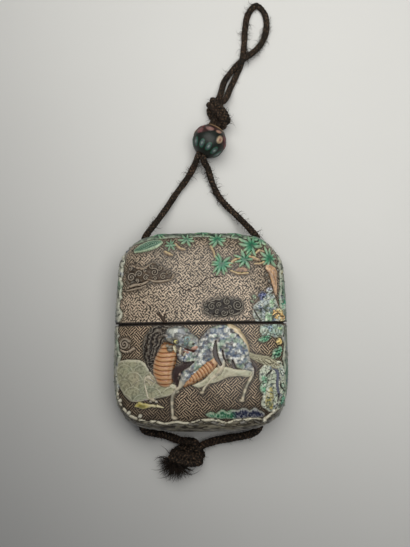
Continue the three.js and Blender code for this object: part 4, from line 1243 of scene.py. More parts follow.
FACE = [  # middle, half sizes, rise and turn of each feature, with its colour
    (-13.2, -1.6, 1.7, 0.55, 1.3, -12, (128, 118, 112)),
    (-9.6, -0.2, 2.0, 0.8, 0.35, 18, (178, 182, 174)),
    (-10.9, -1.2, 0.5, 0.9, 0.3, 0, (84, 90, 96)),
    (-9.7, -1.5, 0.4, 0.8, 0.3, 10, (176, 178, 170)),
    (-8.5, -1.2, 0.4, 0.9, 0.3, -10, (92, 96, 98)),
    (-6.6, -0.3, 1.6, 0.7, 0.35, -22, (120, 128, 140)),
    (-11.0, -3.4, 1.2, 0.9, 0.2, 0, (112, 110, 100)),
    (-9.2, -2.8, 1.3, 0.35, 0.45, 14, (42, 38, 32)),
    (-8.6, -3.9, 1.15, 0.8, 0.2, 0, (34, 30, 24)),
    (-8.5, -3.9, 0.85, 0.6, 0.35, 0, (232, 222, 134)),
    (-8.1, -3.9, 0.5, 0.5, 0.3, 0, (6, 6, 6)),
    (-6.4, -3.4, 0.9, 0.35, 0.4, -50, (80, 96, 118)),
    (-5.3, -2.0, 1.2, 0.4, 0.4, 22, (22, 22, 24)),
    (-4.7, -2.9, 1.1, 0.9, 0.4, 0, (126, 150, 150)),
    (-4.6, -3.0, 0.5, 0.45, 0.1, 0, (8, 10, 12)),
    (-5.2, -4.6, 1.0, 0.5, 0.3, 30, (58, 94, 94)),
    (-3.4, -4.3, 0.9, 0.7, 0.35, 20, (140, 156, 134)),
    (-2.6, -4.6, 0.5, 0.45, 0.2, 0, (10, 8, 8)),
    (-4.4, -5.6, 0.6, 0.45, 0.15, -10, (14, 14, 14)),
    (-6.2, -4.9, 0.5, 0.4, 0.15, 0, (20, 18, 16)),
    (-3.4, -5.9, 0.45, 0.4, 0.15, 0, (44, 44, 26)),
    (-4.0, -6.9, 2.0, 0.32, -0.25, -16, (122, 34, 26)),
    (-2.2, -6.2, 1.3, 0.7, 0.3, 26, (178, 126, 106)),
    (-5.0, -7.5, 1.0, 0.4, 0.2, -16, (150, 92, 74)),
    (-10.4, -6.2, 1.4, 1.2, 0.5, 28, (62, 52, 34)),
    (-11.6, -5.2, 0.7, 0.5, 0.4, 40, (96, 84, 60)),
    (-8.9, -6.3, 0.5, 1.5, 0.6, 12, (206, 196, 160)),
    (-7.9, -6.7, 0.35, 1.5, 0.6, 4, (52, 32, 24)),
    (-7.1, -7.1, 0.45, 1.5, 0.6, -4, (196, 186, 162)),
    (-6.3, -7.7, 0.35, 1.2, 0.6, -12, (66, 42, 34)),
    (-5.6, -8.2, 0.4, 1.0, 0.4, -30, (166, 158, 136)),
]
for feature in FACE:
    relief.add_on(*feature)
# Painted shade in the hollows and a painted highlight on the high edges.
relief.paint_shade_and_edge_light((44, 26, 22), 0.75, 0.55, 0.26)
# Painted shade: the figure darkens where it lies low, along its edges and down to the ground.
relief.paint(unit((0.3 - relief.height) / 0.35) * 0.85, (36, 25, 20))
relief.piece("kirin", kirin_enamel, "case_porcelain")

# ---------------------------------------------------------------------------------------------
# The kirin's mane and tail: dark locks combed back behind the neck, and a pale brush of a tail, laid on
# as rolls of clay and combed while damp.
hair_enamel = enamel_material("hair_enamel", 0.6, 0.8, 0.2, 0.5, coat=0.05)
MANE = [(-11.4, 0.2, 1.7, 0.1), (-14.6, -0.7, 2.7, 0.1), (-16.9, -3.6, 3.3, 0), (-17.3, -8, 3.1, 0),
        (-17.1, -12.6, 2.0, 0), (-16.4, -16.6, 1.1, 0)]
TAIL = [(16.5, -7.9, 0.57, 0.3), (18.6, -9.2, 0.85, 0.3), (21.5, -10.1, 1.23, 0.4), (24.7, -11.3, 1.7, 0.3),
        (27.9, -12.5, 1.23, 0.2)]
for name, low, high, rows, dark, light in (
    ("mane", (-22.8, -19.6), (-9.6, 2.2), MANE, (30, 22, 17), (66, 52, 40)),
    ("tail", (15.6, -16.2), (30.6, -7.0), TAIL, (118, 114, 90), (186, 180, 150)),
):
    relief = Relief("lower", low, high, 0.15, dark)
    u, v = relief.place()
    height, along, across = limb(u, v, rows, 0.35)
    locks = 0.5 + 0.5 * np.cos(4 * np.pi * across + 1.1 * np.sin(along * 0.9) + 14 * rough(u, v, 2.0, 8))
    relief.put(height + 0.24 * locks - 0.1 + uneven(u, v, 0.8, 33, 0.5))
    relief.paint(unit(locks * 1.3 - 0.3) * unit(0.3 + rough(u, v, 2.2, 31)), light)
    # Painted shade in the hollows and a painted highlight on the high edges.
    relief.paint_shade_and_edge_light((22, 16, 14), 0.9, 0.4, 0.15)
    relief.piece(f"kirin_{name}", hair_enamel, "case_porcelain")

# ---------------------------------------------------------------------------------------------
# The ground under the kirin: a celadon hill with overlapping scales drawn on it at the left, a pale
# ledge behind the hind legs, and the dark recess where the ledge meets the tail.
ground_enamel = enamel_material("celadon_enamel", 0.34, 1.5, 0.12, 0.35, coat=0.4)
HILL = [(-30.6, -10.9), (-25.7, -10.3), (-20.8, -10.8), (-17.6, -13.9), (-13.9, -18.1), (-9.1, -19),
        (-7.4, -21.3), (-11.1, -22.9), (-17.6, -24.3), (-24.5, -25.1), (-29.3, -20.5), (-30.9, -15.4)]
LEDGE = [(-2.8, -19.2), (1.7, -16.6), (5.2, -12.9), (8.4, -12.7), (13, -13.6), (17.2, -13.5), (18.5, -14.4),
         (16.8, -16.3), (12.1, -16), (8.3, -16.9), (5.2, -18.1), (1.8, -19), (-0.9, -20.1)]
SCALE_ROW, SCALE_RADIUS = 2.6, 3.4
for name, low, high, outline, seed in (
    ("hill", (-33.4, -27.6), (-7.4, -9.6), HILL, 3),
    ("ledge", (-4.6, -22.6), (21.6, -12.0), LEDGE, 9),
):
    relief = Relief("lower", low, high, 0.17, (164, 162, 134))
    u, v = relief.place()
    inside = area(u, v, outline, 1.0) + uneven(u, v, 2.4, seed, 0.5)
    relief.put(slab(inside, 0.62, 0.9) + uneven(u, v, 3.0, seed + 1, 0.35) * (inside > 0))
    relief.paint(spots(u, v, 4.4, seed + 2, 0.45, 4), (168, 160, 134))
    relief.paint(spots(u, v, 3.4, seed + 3, 0.58, 4, 0.4), (128, 138, 118))
    if name == "ledge":
        relief.paint(spots(u, v, 1.0, seed + 4, 0.55, 6, 0.5), (110, 100, 78))
    if name == "hill":
        lines = np.zeros(u.shape)
        for row in range(10):
            middle = -9.5 - SCALE_ROW * row
            offset = (u / (2 * SCALE_RADIUS) + 0.5 * (row % 2)) % 1 - 0.5
            away = np.hypot(offset * 2 * SCALE_RADIUS, v - middle + SCALE_RADIUS)
            covers = away < SCALE_RADIUS + 0.15
            line = unit(1 - np.abs(away - SCALE_RADIUS) / 0.28)
            inner = unit(1 - np.abs(away - 0.62 * SCALE_RADIUS) / 0.2) * 0.5
            lines = np.where(covers, np.maximum(line, inner), lines)
        relief.height += 0.16 * lines * (inside > 0.4)
        relief.paint(lines * 0.22, (176, 174, 150))
        relief.paint(np.clip((lattice(u, v, 0.5, 17) - 0.62) * 5, 0, 0.45), (74, 72, 54))
    rim = unit(1 - np.abs(inside - 0.3) / 0.35)
    relief.paint(rim * 0.6, (204, 198, 172))
    # Painted shade in the hollows and a painted highlight on the high edges.
    relief.paint_shade_and_edge_light((52, 48, 34), 0.7, 0.5, 0.12)
    relief.piece(name, ground_enamel, "case_porcelain")

# ---------------------------------------------------------------------------------------------
# The maple and pine over the lid: open leaves of thin pointed lobes in turquoise enamel with pale
# yellow-green tips, on ochre twigs that grow from a peach-coloured trunk at the right.
LEAVES = [  # place across and up, radius, turn of the middle lobe, lobes, and how wide it is for its height
    (-11.2, 30.9, 2.6, 95, 7, 0.75),
    (-5.3, 32.9, 2.7, 80, 7, 1.1),
    (6.1, 32.9, 3.2, 100, 9, 1.15),
    (7.6, 24.0, 4.0, 250, 11, 1.0),
    (18.9, 30.9, 4.1, 140, 9, 1.1),
    (16.3, 25.5, 3.3, 150, 7, 1.35),
    (25.7, 26.0, 4.1, 110, 9, 0.85),
    (22.4, 34.0, 3.2, 60, 9, 1.1),
    (-16.4, 36.6, 3.0, 70, 9, 1.1),
    (13.2, 37.2, 3.0, 90, 9, 1.1),
    (0.6, 38.0, 3.0, 60, 9, 1.1),
]
PINE = [(-24.9, 29.2, 0.5, 0.2), (-22.4, 30.0, 1.3, 0.2), (-19.4, 31.0, 1.6, 0.2), (-16.6, 31.8, 1.3, 0.2),
        (-15.0, 32.3, 0.5, 0.2)]
TWIGS = [
    [(3.6, 30.4, 0.45), (4.6, 28.4, 0.4), (5.0, 26.6, 0.3)],
    [(10.2, 23.2, 0.35), (12.2, 25.2, 0.5), (15.0, 26.2, 0.4)],
    [(17.6, 26.8, 0.5), (20.0, 26.0, 0.7), (21.6, 25.5, 0.4)],
    [(20.4, 28.0, 0.35), (22.0, 29.2, 0.5), (23.6, 28.8, 0.35)],
    [(20.0, 24.1, 0.3), (22.2, 24.2, 0.4), (24.0, 25.2, 0.3)],
    [(11.0, 21.4, 0.3), (13.7, 20.4, 0.45), (17.2, 20.6, 0.35)],
    [(-9.6, 31.6, 0.4), (-8.0, 29.8, 0.5), (-5.9, 29.3, 0.35)],
    [(-13.4, 28.4, 0.5), (-11.9, 27.6, 0.6), (-10.6, 27.2, 0.3)],
    [(15.4, 8.2, 0.4), (16.8, 6.8, 0.45), (16.5, 5.0, 0.4), (15.3, 5.6, 0.3)],
]
TRUNK = [(25.4, 22.9, 1.3, 0), (26.9, 21.4, 1.7, 0.1), (27.3, 18.9, 1.3, 0.1), (27.6, 16.4, 0.9, 0.1),
         (27.9, 13.4, 0.5, 0.1)]


def near_by(u, v, x, y, reach):
    """The part of a grid within a reach of a place."""
    return np.hypot(u - x, v - y) < reach


leaf_enamel = enamel_material("leaf_enamel", 0.36, 0.9, 0.25, 0.4, coat=0.3)
relief = Relief("lid", (-29.0, 20.0), (31.0, 41.0), 0.15, (60, 110, 90))
u, v = relief.place()
inside = v - 34.9 + uneven(u, v, 2.4, 71, 0.9) + 0.004 * u**2
rim_green = blend((80, 108, 84), (38, 56, 42), (rough(u, v, 1.0, 72) - 0.35) * 4)
relief.put(slab(inside, 0.3, 0.8) + uneven(u, v, 1.3, 73, 0.3) * (inside > 0), rim_green)
peach = lump(u, v, 15.0, 21.9, 3.4, 1.5, 0.35, -4) + uneven(u, v, 1.4, 74, 0.2)
relief.put(peach - 0.25, blend((150, 116, 92), (84, 62, 46), (rough(u, v, 0.8, 75) - 0.45) * 4))
for rows in TWIGS:
    height, along, across = limb(u, v, [(*row, 0.1) for row in rows], 1.0)
    relief.put(height + 0.12 * np.sin(4 * along), blend((196, 168, 104), (112, 78, 40), across + 0.6))
for x, y, radius, turn, lobes, wide in LEAVES:
    patch = near_by(u, v, x, y, radius * 1.7)
    a, b = (u[patch] - x) / wide, v[patch] - y
    best = np.full(a.shape, NOWHERE)
    tone = np.zeros((*a.shape, 3))
    for lobe in range(lobes):
        from_middle = lobe - (lobes - 1) / 2
        bearing = math.radians(turn + from_middle * 320 / lobes)
        length = radius * (1.24 - 0.4 * abs(from_middle) / lobes) * (0.94 + 0.12 * math.sin(5 * lobe + x))
        out = a * math.cos(bearing) + b * math.sin(bearing)
        aside = b * math.cos(bearing) - a * math.sin(bearing)
        share = unit(out / length)
        half = radius * 0.29 * (share + 0.03) ** 0.45 * (1 - share) ** 0.75 + 1e-3
        edge = np.abs(aside + 0.12 * radius * share**2 * math.sin(3 * lobe + y)) / half
        height = np.where((out > -0.3) & (out < length), dome(edge, 0.40) * (1.15 - 0.5 * share) + 0.24,
                          NOWHERE)
        better = height > best
        best = np.where(better, height, best)
        green = blend((8, 70, 50), (22, 120, 82), unit(share * 2.5))
        green = blend(green, (128, 148, 92), unit((share - 0.62) * 3))
        green = blend(green, (124, 156, 120), unit((edge - 0.55) * 2.4) * np.clip(share * 2, 0, 0.9))
        tone = np.where(better[..., None], green, tone)
    whole = np.full(u.shape, NOWHERE)
    whole[patch] = best
    colours = np.zeros((*u.shape, 3))
    colours[patch] = tone
    relief.put(whole, colours, 0.04)
height, along, across = limb(u, v, PINE, 0.45)
needles = np.sin((along - 2.2 * np.abs(across)) * 7.0)
tone = blend((14, 66, 50), (76, 130, 100), 0.5 + 0.5 * needles)
tone = blend(tone, (134, 160, 126), unit((np.abs(across) - 0.74) * 8))
relief.put(height + 0.14 * needles + 0.25 * unit((np.abs(across) - 0.7) * 4), tone)
# Painted shade in the hollows and a painted highlight on the high edges.
relief.paint_shade_and_edge_light((22, 28, 18), 0.95, 0.45, 0.16)
relief.piece("lid_leaves", leaf_enamel, "lid_porcelain")
relief = Relief("lid", (22.6, 11.6), (31.6, 24.4), 0.13, (120, 90, 60))
u, v = relief.place()
height, along, across = limb(u, v, TRUNK, 0.6)
bark = blend((206, 168, 126), (124, 82, 52), 0.5 + 0.5 * np.sin(7 * across + along))
relief.put(height + 0.16 * np.sin(7 * across + along) + uneven(u, v, 0.8, 76, 0.2), bark)
for x, y in ((29.6, 22.2), (30.3, 20.1), (29.8, 16.8), (24.9, 22.9), (24.4, 20.2), (25.4, 18.0),
             (25.9, 15.8), (27.0, 13.2)):
    relief.put(lump(u, v, x, y, 0.45, 0.55, 0.5, 15 * x), (26, 20, 14), 0.05)
# Painted shade in the hollows and a painted highlight on the high edges.
relief.paint_shade_and_edge_light((30, 20, 12), 0.9, 0.4, 0.16)
relief.piece("lid_trunk", leaf_enamel, "lid_porcelain")

# ---------------------------------------------------------------------------------------------
# The clouds on the lid and the curl of cloud at the left of the lower section: clay rolls over low
# mounds, with painted shade in dark brown in their hollows, and one dark sprig by the joint.
cloud_enamel = enamel_material("cloud_enamel", 0.55, 1.1, 0.2, 0.5, coat=0.1)
LEFT_CLOUD = [(-27.5, 21.6), (-27.2, 23.5), (-25, 23.6), (-21.4, 22.2), (-17.7, 24.6), (-14.5, 23.0),
              (-10.8, 20.3), (-11.2, 18.3), (-13.4, 17.5), (-16.6, 17.6), (-19.4, 16.9), (-24.4, 17.5),
              (-27.5, 17.2)]
DARK_CLOUD = [(1.2, 6.6), (0.9, 9.0), (3.2, 10.5), (7, 11.3), (10.4, 11.5), (14, 11.0), (15.4, 9),
              (14.0, 6.3), (10.3, 5.2), (6.3, 5.0), (2.8, 5.6)]
CLOUDS = [  # name, section, low and high corner, outline, colour, spirals, and rolls of place and radius
    ("cloud_left", "lid", (-29.2, 12.6), (-8.4, 26.0), LEFT_CLOUD, (74, 60, 46),
     [(-25.6, 19.2, 1.6, 0.26, 1.7, 0.3, 1), (-16.9, 20.9, 1.5, 0.26, 1.6, 2.2, -1),
      (-13.6, 19.4, 1.2, 0.24, 1.5, 1.0, 1), (-22.6, 20.4, 1.3, 0.24, 1.5, 3.4, -1),
      (-18.0, 23.0, 1.0, 0.22, 1.3, 1.6, 1), (-20.0, 19.0, 1.1, 0.22, 1.4, 0.6, 1),
      (-15.0, 22.4, 0.9, 0.22, 1.3, 4.0, 1), (-26.2, 22.4, 0.9, 0.22, 1.3, 2.0, -1),
      (-23.4, 18.0, 0.8, 0.2, 1.2, 5.0, 1), (-16.6, 18.6, 0.8, 0.2, 1.2, 3.0, -1),
      (-20.4, 21.6, 0.8, 0.2, 1.2, 1.0, 1), (-12.0, 21.0, 0.7, 0.2, 1.2, 0.0, -1)],
     [[(-25.6, 23.4, 0.3), (-21.4, 22.1, 0.4), (-19.6, 23.1, 0.35), (-17.7, 24.5, 0.3)],
      [(-19.2, 18.2, 0.35), (-16.2, 17.6, 0.4), (-13.4, 17.8, 0.4), (-10.9, 18.5, 0.35), (-9.9, 20.0, 0.25)],
      [(-27.0, 15.4, 0.35), (-24.4, 16.4, 0.5), (-21.7, 16.6, 0.45), (-19.4, 17.6, 0.35)],
      [(-27.6, 14.4, 0.2), (-23.6, 15.0, 0.3), (-20.3, 16.0, 0.2)],
      [(-20.8, 21.2, 0.3), (-18.8, 19.4, 0.35), (-15.4, 18.8, 0.3), (-12.2, 20.4, 0.25)]]),
    ("cloud_right", "lid", (-0.8, 3.4), (17.2, 13.0), DARK_CLOUD, (30, 22, 17),
     [(13.2, 9.1, 1.8, 0.26, 1.8, -0.4, -1), (9.4, 10.3, 1.2, 0.24, 1.6, 2.0, 1),
      (8.3, 6.3, 1.2, 0.24, 1.5, 0.4, -1), (4.0, 8.6, 1.4, 0.24, 1.6, 1.0, 1),
      (11.0, 6.8, 1.0, 0.22, 1.4, 2.6, 1), (6.6, 9.2, 1.0, 0.22, 1.4, 4.0, -1),
      (5.8, 6.6, 0.9, 0.2, 1.3, 0.8, 1), (2.2, 7.2, 0.7, 0.2, 1.2, 3.0, -1),
      (10.2, 8.4, 0.8, 0.2, 1.3, 5.0, 1), (1.8, 9.2, 0.7, 0.2, 1.2, 1.0, 1)],
     [[(1.4, 7.0, 0.3), (3.0, 5.9, 0.35), (6.0, 5.2, 0.35)],
      [(10.6, 5.6, 0.35), (13.0, 6.0, 0.4), (15.0, 7.8, 0.3)],
      [(2.0, 9.6, 0.3), (5.2, 10.9, 0.35), (7.6, 11.0, 0.3)],
      [(6.0, 8.4, 0.3), (8.6, 8.2, 0.35), (11.4, 7.2, 0.3)]]),
    ("curl_left", "lower", (-30.4, -9.6), (-22.8, -2.0),
     [(-29.6, -5), (-28, -3.2), (-25.8, -4.4), (-26, -6.6), (-28.4, -7)], (92, 78, 64),
     [(-27.6, -4.9, 2.0, 0.38, 1.8, 0.6, 1)],
     [[(-29.2, -6.9, 0.3), (-26.6, -7.7, 0.35), (-24.1, -6.4, 0.3)]]),
]
for name, section, low, high, outline, colour, spirals, rolls in CLOUDS:
    relief = Relief(section, low, high, 0.14, colour)
    u, v = relief.place()
    inside = area(u, v, outline, 0.8) + uneven(u, v, 1.6, 5, 0.8)
    relief.put(slab(inside, 0.5, 1.4) + uneven(u, v, 1.5, 6, 0.5) * (inside > 0))
    relief.paint(spots(u, v, 2.2, 7, 0.45, 4), tuple(value * 0.5 for value in colour))
    light = tuple(value * 1.25 + 2 for value in colour)
    for row in spirals:
        relief.put(spiral(u, v, *row) + 0.45, light, 0.08)
    for rows in rolls:
        height = limb(u, v, [(*row, 0.35) for row in rows], 1.0)[0]
        pale = tuple(value * 1.55 + 6 for value in colour)
        relief.put(height - 0.5 * unit((0.45 - rough(u, v, 1.1, 9)) * 5), pale, 0.08)
    # Painted shade in the hollows and a painted highlight on the high edges.
    relief.paint_shade_and_edge_light((22, 15, 10), 1.0, 0.35, 0.12)
    relief.piece(name, cloud_enamel, SLOT[section])
relief = Relief("lid", (-17.4, 2.6), (-11.2, 8.0), 0.13, (58, 44, 32))
u, v = relief.place()
for rows in ([(-15.6, 6.2, 0.3), (-14.0, 4.6, 0.5), (-12.7, 2.9, 0.6)],
             [(-12.6, 6.0, 0.25), (-13.4, 4.6, 0.4), (-13.2, 3.0, 0.4)]):
    relief.put(limb(u, v, [(*row, 0) for row in rows], 0.9)[0])
relief.piece("sprig_by_joint", cloud_enamel, "lid_porcelain")
relief = Relief("lid", (-8.4, 13.2), (9.0, 20.6), 0.11, (48, 34, 24))
u, v = relief.place()
CRACK = [(-7.3, 15.6), (-5.1, 14.3), (-3.1, 15.4), (-0.9, 16.0), (0.9, 17.6), (1.9, 18.5), (4.4, 19.2),
         (8.0, 19.4)]
wander = uneven(u, v, 0.9, 4, 0.5)
relief.put(limb(u, v + wander, [(x, y, 0.17, 0.02) for x, y in CRACK], 0.3, 0.5)[0])
relief.piece("glaze_crack", cloud_enamel, "lid_porcelain")

# ---------------------------------------------------------------------------------------------
# The rocks at the right of both sections, with a stream between them: stepped mounds in pale blue,
# white, green and ochre enamel, with moss and small flowers on them.
rock_enamel = enamel_material("rock_enamel", 0.30, 1.1, 0.14, 0.4, coat=0.5)
ROCKS = [  # section, low and high corner, outlines with height and colour, lumps, and dark lines
    ("lid", (17.0, 2.6), (33.6, 17.6), [
        ([(19.0, 9.0), (21.2, 10.6), (24.2, 13.6), (26.4, 13.6), (27.9, 10.7), (28.9, 7.9), (28.9, 3.0),
          (20.9, 2.4), (18.6, 5.7)], 0.7,
         (164, 174, 172)),
        ([(25.6, 12.0), (27.3, 10.9), (26.4, 8.3), (25.2, 3.0), (22.8, 3.0), (23.4, 6.6)], 1.05,
         (150, 184, 148)),
        ([(29.2, 12.8), (31.9, 13.0), (32.4, 8.2), (30.0, 8.0)], 0.9, (30, 122, 92)),
    ], [
        (22.4, 12.5, 1.6, 1.7, 1.5, -20, (36, 56, 116)), (25.2, 14.6, 1.4, 1.1, 1.2, 20, (150, 154, 172)),
        (19.4, 12.0, 0.7, 1.1, 0.9, 20, (56, 96, 66)), (18.5, 10.4, 0.9, 0.5, 0.8, -30, (66, 92, 64)),
        (28.3, 6.2, 2.6, 2.2, 1.3, 0, (206, 164, 86)), (30.2, 4.6, 1.6, 1.4, 1.2, 0, (196, 150, 78)),
        (20.5, 9.2, 0.5, 0.4, 1.0, 0, (20, 24, 26)), (22.2, 8.0, 0.65, 0.35, 1.1, 0, (18, 20, 22)),
        (21.2, 7.2, 0.35, 0.6, 1.0, 0, (24, 26, 28)), (20.9, 14.6, 0.4, 0.3, 0.5, 0, (24, 22, 16)),
    ], [
        [(24.2, 20.6, 0.12), (25.9, 17.9, 0.16), (26.0, 15.8, 0.14), (27.4, 12.9, 0.2), (28.5, 9.2, 0.2),
         (29.9, 7.7, 0.15)],
        [(26.2, 5.4, 0.16), (28.2, 6.4, 0.18), (30.4, 4.2, 0.16)],
        [(27.0, 7.4, 0.14), (28.4, 6.4, 0.16), (28.6, 4.0, 0.14)],
        [(19.0, 7.6, 0.2), (20.2, 5.4, 0.24), (21.6, 3.2, 0.2)],
    ]),
    ("lower", (18.6, -31.0), (33.4, 2.2), [
        ([(21.4, 2.2), (30.6, 2.2), (30.4, -1.6), (27.6, -2.4), (24.6, -1.6), (22.0, -2.0)], 0.7,
         (156, 178, 164)),
        ([(20.8, -13.6), (23.6, -11.8), (29.4, -11.6), (31.0, -19.3), (30.8, -26.4), (25.7, -28.8),
          (21.4, -26.7), (21.9, -21.4), (20.6, -17.1)], 0.65, (178, 186, 166)),
        ([(21.2, -15.6), (23.4, -14.6), (23.0, -19.6), (22.6, -22.6), (20.8, -21.4), (21.2, -18.2)], 1.0,
         (104, 166, 130)),
        ([(22.6, -21.6), (24.6, -19.4), (25.6, -23.0), (25.0, -28.0), (22.4, -26.4)], 1.05, (164, 152, 84)),
    ], [
        (22.4, -3.1, 2.0, 1.1, 1.3, 8, (42, 128, 92)), (24.0, -2.5, 1.2, 0.8, 1.2, 20, (66, 140, 110)),
        (28.6, -3.9, 1.2, 1.3, 1.2, 20, (208, 178, 92)), (27.4, -7.9, 1.8, 1.7, 1.4, 30, (44, 128, 92)),
        (28.8, -6.6, 1.0, 1.1, 1.2, 0, (60, 140, 104)), (26.2, -9.4, 1.2, 0.9, 0.9, 30, (92, 128, 96)),
        (26.0, -1.2, 0.45, 0.4, 1.1, 0, (14, 14, 14)), (24.9, 0.8, 1.3, 0.9, 1.1, 0, (126, 152, 168)),
        (29.0, 0.8, 1.4, 0.8, 1.1, 0, (150, 178, 120)), (29.6, -24.6, 1.1, 2.0, 1.4, -18, (40, 112, 88)),
        (29.8, -20.4, 0.8, 2.0, 1.2, 6, (110, 140, 120)), (26.9, -26.0, 0.5, 1.8, 1.1, -8, (168, 172, 156)),
        (29.6, -14.6, 0.9, 2.2, 1.1, 4, (168, 176, 166)), (28.0, -11.4, 1.6, 0.8, 1.0, 0, (176, 178, 158)),
    ], [
        [(25.4, -12.9, 0.5), (27.5, -14.8, 0.6), (27.2, -19.1, 0.6), (28.0, -23, 0.5)],
        [(27.9, -22.4, 0.25), (27.2, -25.6, 0.35), (26.6, -28.6, 0.25)],
        [(22.8, -16.0, 0.3), (24.9, -14.2, 0.35)],
        [(28.2, -16.6, 0.15), (28.9, -20.0, 0.25), (30.4, -21.6, 0.15)],
        [(30.2, -2.0, 0.12), (30.6, -6.0, 0.16), (29.8, -10.4, 0.14)],
    ]),
]
for section, low, high, outlines, lumps, lines in ROCKS:
    relief = Relief(section, low, high, 0.15, (140, 146, 134))
    u, v = relief.place()
    grain = rough(u, v, 1.3, 51)
    beads = unit(1.1 - (cells(u + 0.3 * grain, v, 0.85, 57)[0] / 0.5) ** 2)
    pebbled = cells(u, v + 0.5 * grain, 1.9, 58)[1]
    for outline, tall, colour in outlines:
        inside = area(u, v, outline, 0.9) + uneven(u, v, 1.5, 52, 0.7)
        tone = blend(colour, (206, 206, 190), np.clip((grain - 0.52) * 4, 0, 0.8))
        tone = flecked(tone, u, v, [((70, 84, 112), 1.9, 54, 0.62, 8, 0.6),
                                    ((58, 72, 56), 0.9, 55, 0.56, 7, 0.8)])
        tone = blend(tone, (38, 38, 32), unit((0.16 - pebbled) / 0.12) * (inside > 0.3) * 0.8)
        stony = 0.5 * (grain - 0.5) - 0.3 * unit(1 - pebbled / 0.25)
        relief.put(slab(inside, tall, 0.7) + stony * (inside > 0), tone)
        relief.paint(unit(1 - np.abs(inside - 0.2) / 0.22) * (relief.height < tall + 0.2) * 0.45,
                     (196, 196, 178))
    for x, y, wide, high_half, tall, turn, colour in lumps:
        height = lump(u, v, x, y, wide, high_half, tall, turn)
        tone = blend(colour, (196, 206, 176), np.clip((grain - 0.58) * 5, 0, 0.6))
        # Each lump's colour runs from a dark copy between the beads to a light copy on them: painted shade
        # and painted highlight.
        tone = blend(tone * 0.4, tone * 1.1, 0.2 + 1.1 * beads)
        ragged = height + uneven(u, v, 0.9, 56, 0.5)
        relief.put(np.where(ragged > 0, ragged * 0.75 + 0.4 * beads - 0.1, NOWHERE), tone, 0.05)
    for rows in lines:
        groove = limb(u, v, [(*row, 0) for row in rows], 1, 0.5)[0]
        stream = rows[0][2] > 0.45
        relief.height = np.where(groove > 0, np.minimum(relief.height, 0.25), relief.height)
        relief.paint(unit(groove / 0.1 + 0.6), (104, 106, 124) if stream else (34, 24, 18))
    # Painted shade in the hollows and a painted highlight on the high edges.
    relief.paint_shade_and_edge_light((34, 34, 30), 0.9, 0.4, 0.2)
    relief.piece(f"{section}_rocks", rock_enamel, SLOT[section])

# ---------------------------------------------------------------------------------------------
# The foot of the scene: a ruffled line of white foam over a dark band along the bottom edge, with a
# bank of green and dark blue grass, a yellow patch of ground and small flowers above it.
foot_enamel = enamel_material("foot_enamel", 0.34, 1.0, 0.15, 0.4, coat=0.4)
FOAM = [(-30.9, -22.6, 0.5), (-29.6, -26.2, 0.6), (-27.2, -28.6, 0.6), (-24.2, -30.9, 0.55),
        (-20.8, -32.0, 0.6), (-17.1, -32.3, 0.6), (-12.6, -32.7, 0.45), (-7.4, -32.4, 0.5),
        (-2.4, -32.4, 0.4), (1.8, -31.3, 0.55), (5, -31.7, 0.6), (9, -32.4, 0.45), (14.2, -31.3, 0.55),
        (18, -31.1, 0.6), (21.5, -31.2, 0.55), (25.1, -29.8, 0.6), (27.8, -27.6, 0.5), (30.2, -23.4, 0.4)]
relief = Relief("lower", (-31.6, -40.6), (31.6, -19.6), 0.17, (70, 62, 50))
u, v = relief.place()
edge = np.interp(u, [row[0] for row in FOAM], [row[1] for row in FOAM]) + uneven(u, 0 * v, 1.8, 61, 0.8)
inside = edge - 0.2 - v
strip = blend((84, 78, 64), (138, 132, 114), (rough(u, 3 * v, 2.4, 62) - 0.3) * 2)
strip = blend(strip, (44, 38, 30), unit((rough(u, 3 * v, 1.9, 63) - 0.52) * 8))
relief.put(slab(inside, 0.22, 0.7) + uneven(u, 2.5 * v, 1.9, 64, 0.4) * (inside > 0), strip)
WAVES = [  # how far each line of foam or shade is moved down, its colour and its share of the foam's width
    (0.0, (168, 162, 140), 0.75), (-0.9, (34, 28, 22), 0.7), (-1.8, (150, 144, 124), 0.6),
    (-3.4, (56, 52, 42), 0.8), (-5.0, (128, 126, 106), 0.8),
]
for number, (shift, colour, wide) in enumerate(WAVES):
    wave = 0.5 * np.sin(u * 0.9 + number * 1.7) + uneven(u, 0 * v, 1.6, 65 + number, 0.9)
    rows = [(x, y + shift, radius * wide, 0.2 if number < 2 else -0.15) for x, y, radius in FOAM]
    height = limb(u, v + wave * (0.5 + 0.2 * number), rows, 0.9)[0]
    broken = 0.6 * unit((0.5 - rough(u, v, 1.3, 75 + number)) * 6) + 0.35 * unit((-33.4 - v) / 1.5)
    relief.put(height - broken, colour, 0.1)
for x, y, radius in ((25.9, -28.5, 0.9), (22.4, -31.7, 0.8), (-21.2, -30.2, 0.7), (-25.6, -29.2, 0.7),
                     (-29.4, -25.0, 0.7)):
    relief.put(lump(u, v, x, y, radius, radius, 1.2), (186, 182, 164))
    relief.paint(unit((0.4 * radius - np.hypot(u - x, v - y + 0.1)) / 0.15), (24, 20, 18))
# Painted shade in the hollows and a painted highlight on the high edges.
relief.paint_shade_and_edge_light((30, 26, 20), 0.9, 0.45, 0.2)
relief.piece("foot_foam", foot_enamel, "case_porcelain")
BANK = [(1.6, -29.4), (3.6, -28.4), (5.4, -28.9), (7.4, -27.6), (9.2, -28.3), (10.9, -27.6), (12.7, -27.9),
        (14.8, -27.0), (17.0, -27.8), (19.0, -26.9), (20.6, -28.2), (22.6, -29.2), (21.8, -30.4),
        (16.4, -30.7), (12.7, -31.0), (8.8, -30.9), (4.8, -30.7), (2.4, -30.2)]
PATCH = [(-23.3, -26.9), (-21.7, -25.1), (-19.6, -25.7), (-17.6, -25.9), (-15.4, -26), (-12.6, -27.1),
         (-15.2, -27.1), (-17.4, -26.8), (-19.7, -27.7)]
relief = Relief("lower", (-24.8, -31.4), (25.6, -23.0), 0.13, (120, 110, 76))
u, v = relief.place()
inside = area(u, v, BANK, 0.7) + uneven(u, v, 1.0, 81, 0.5)
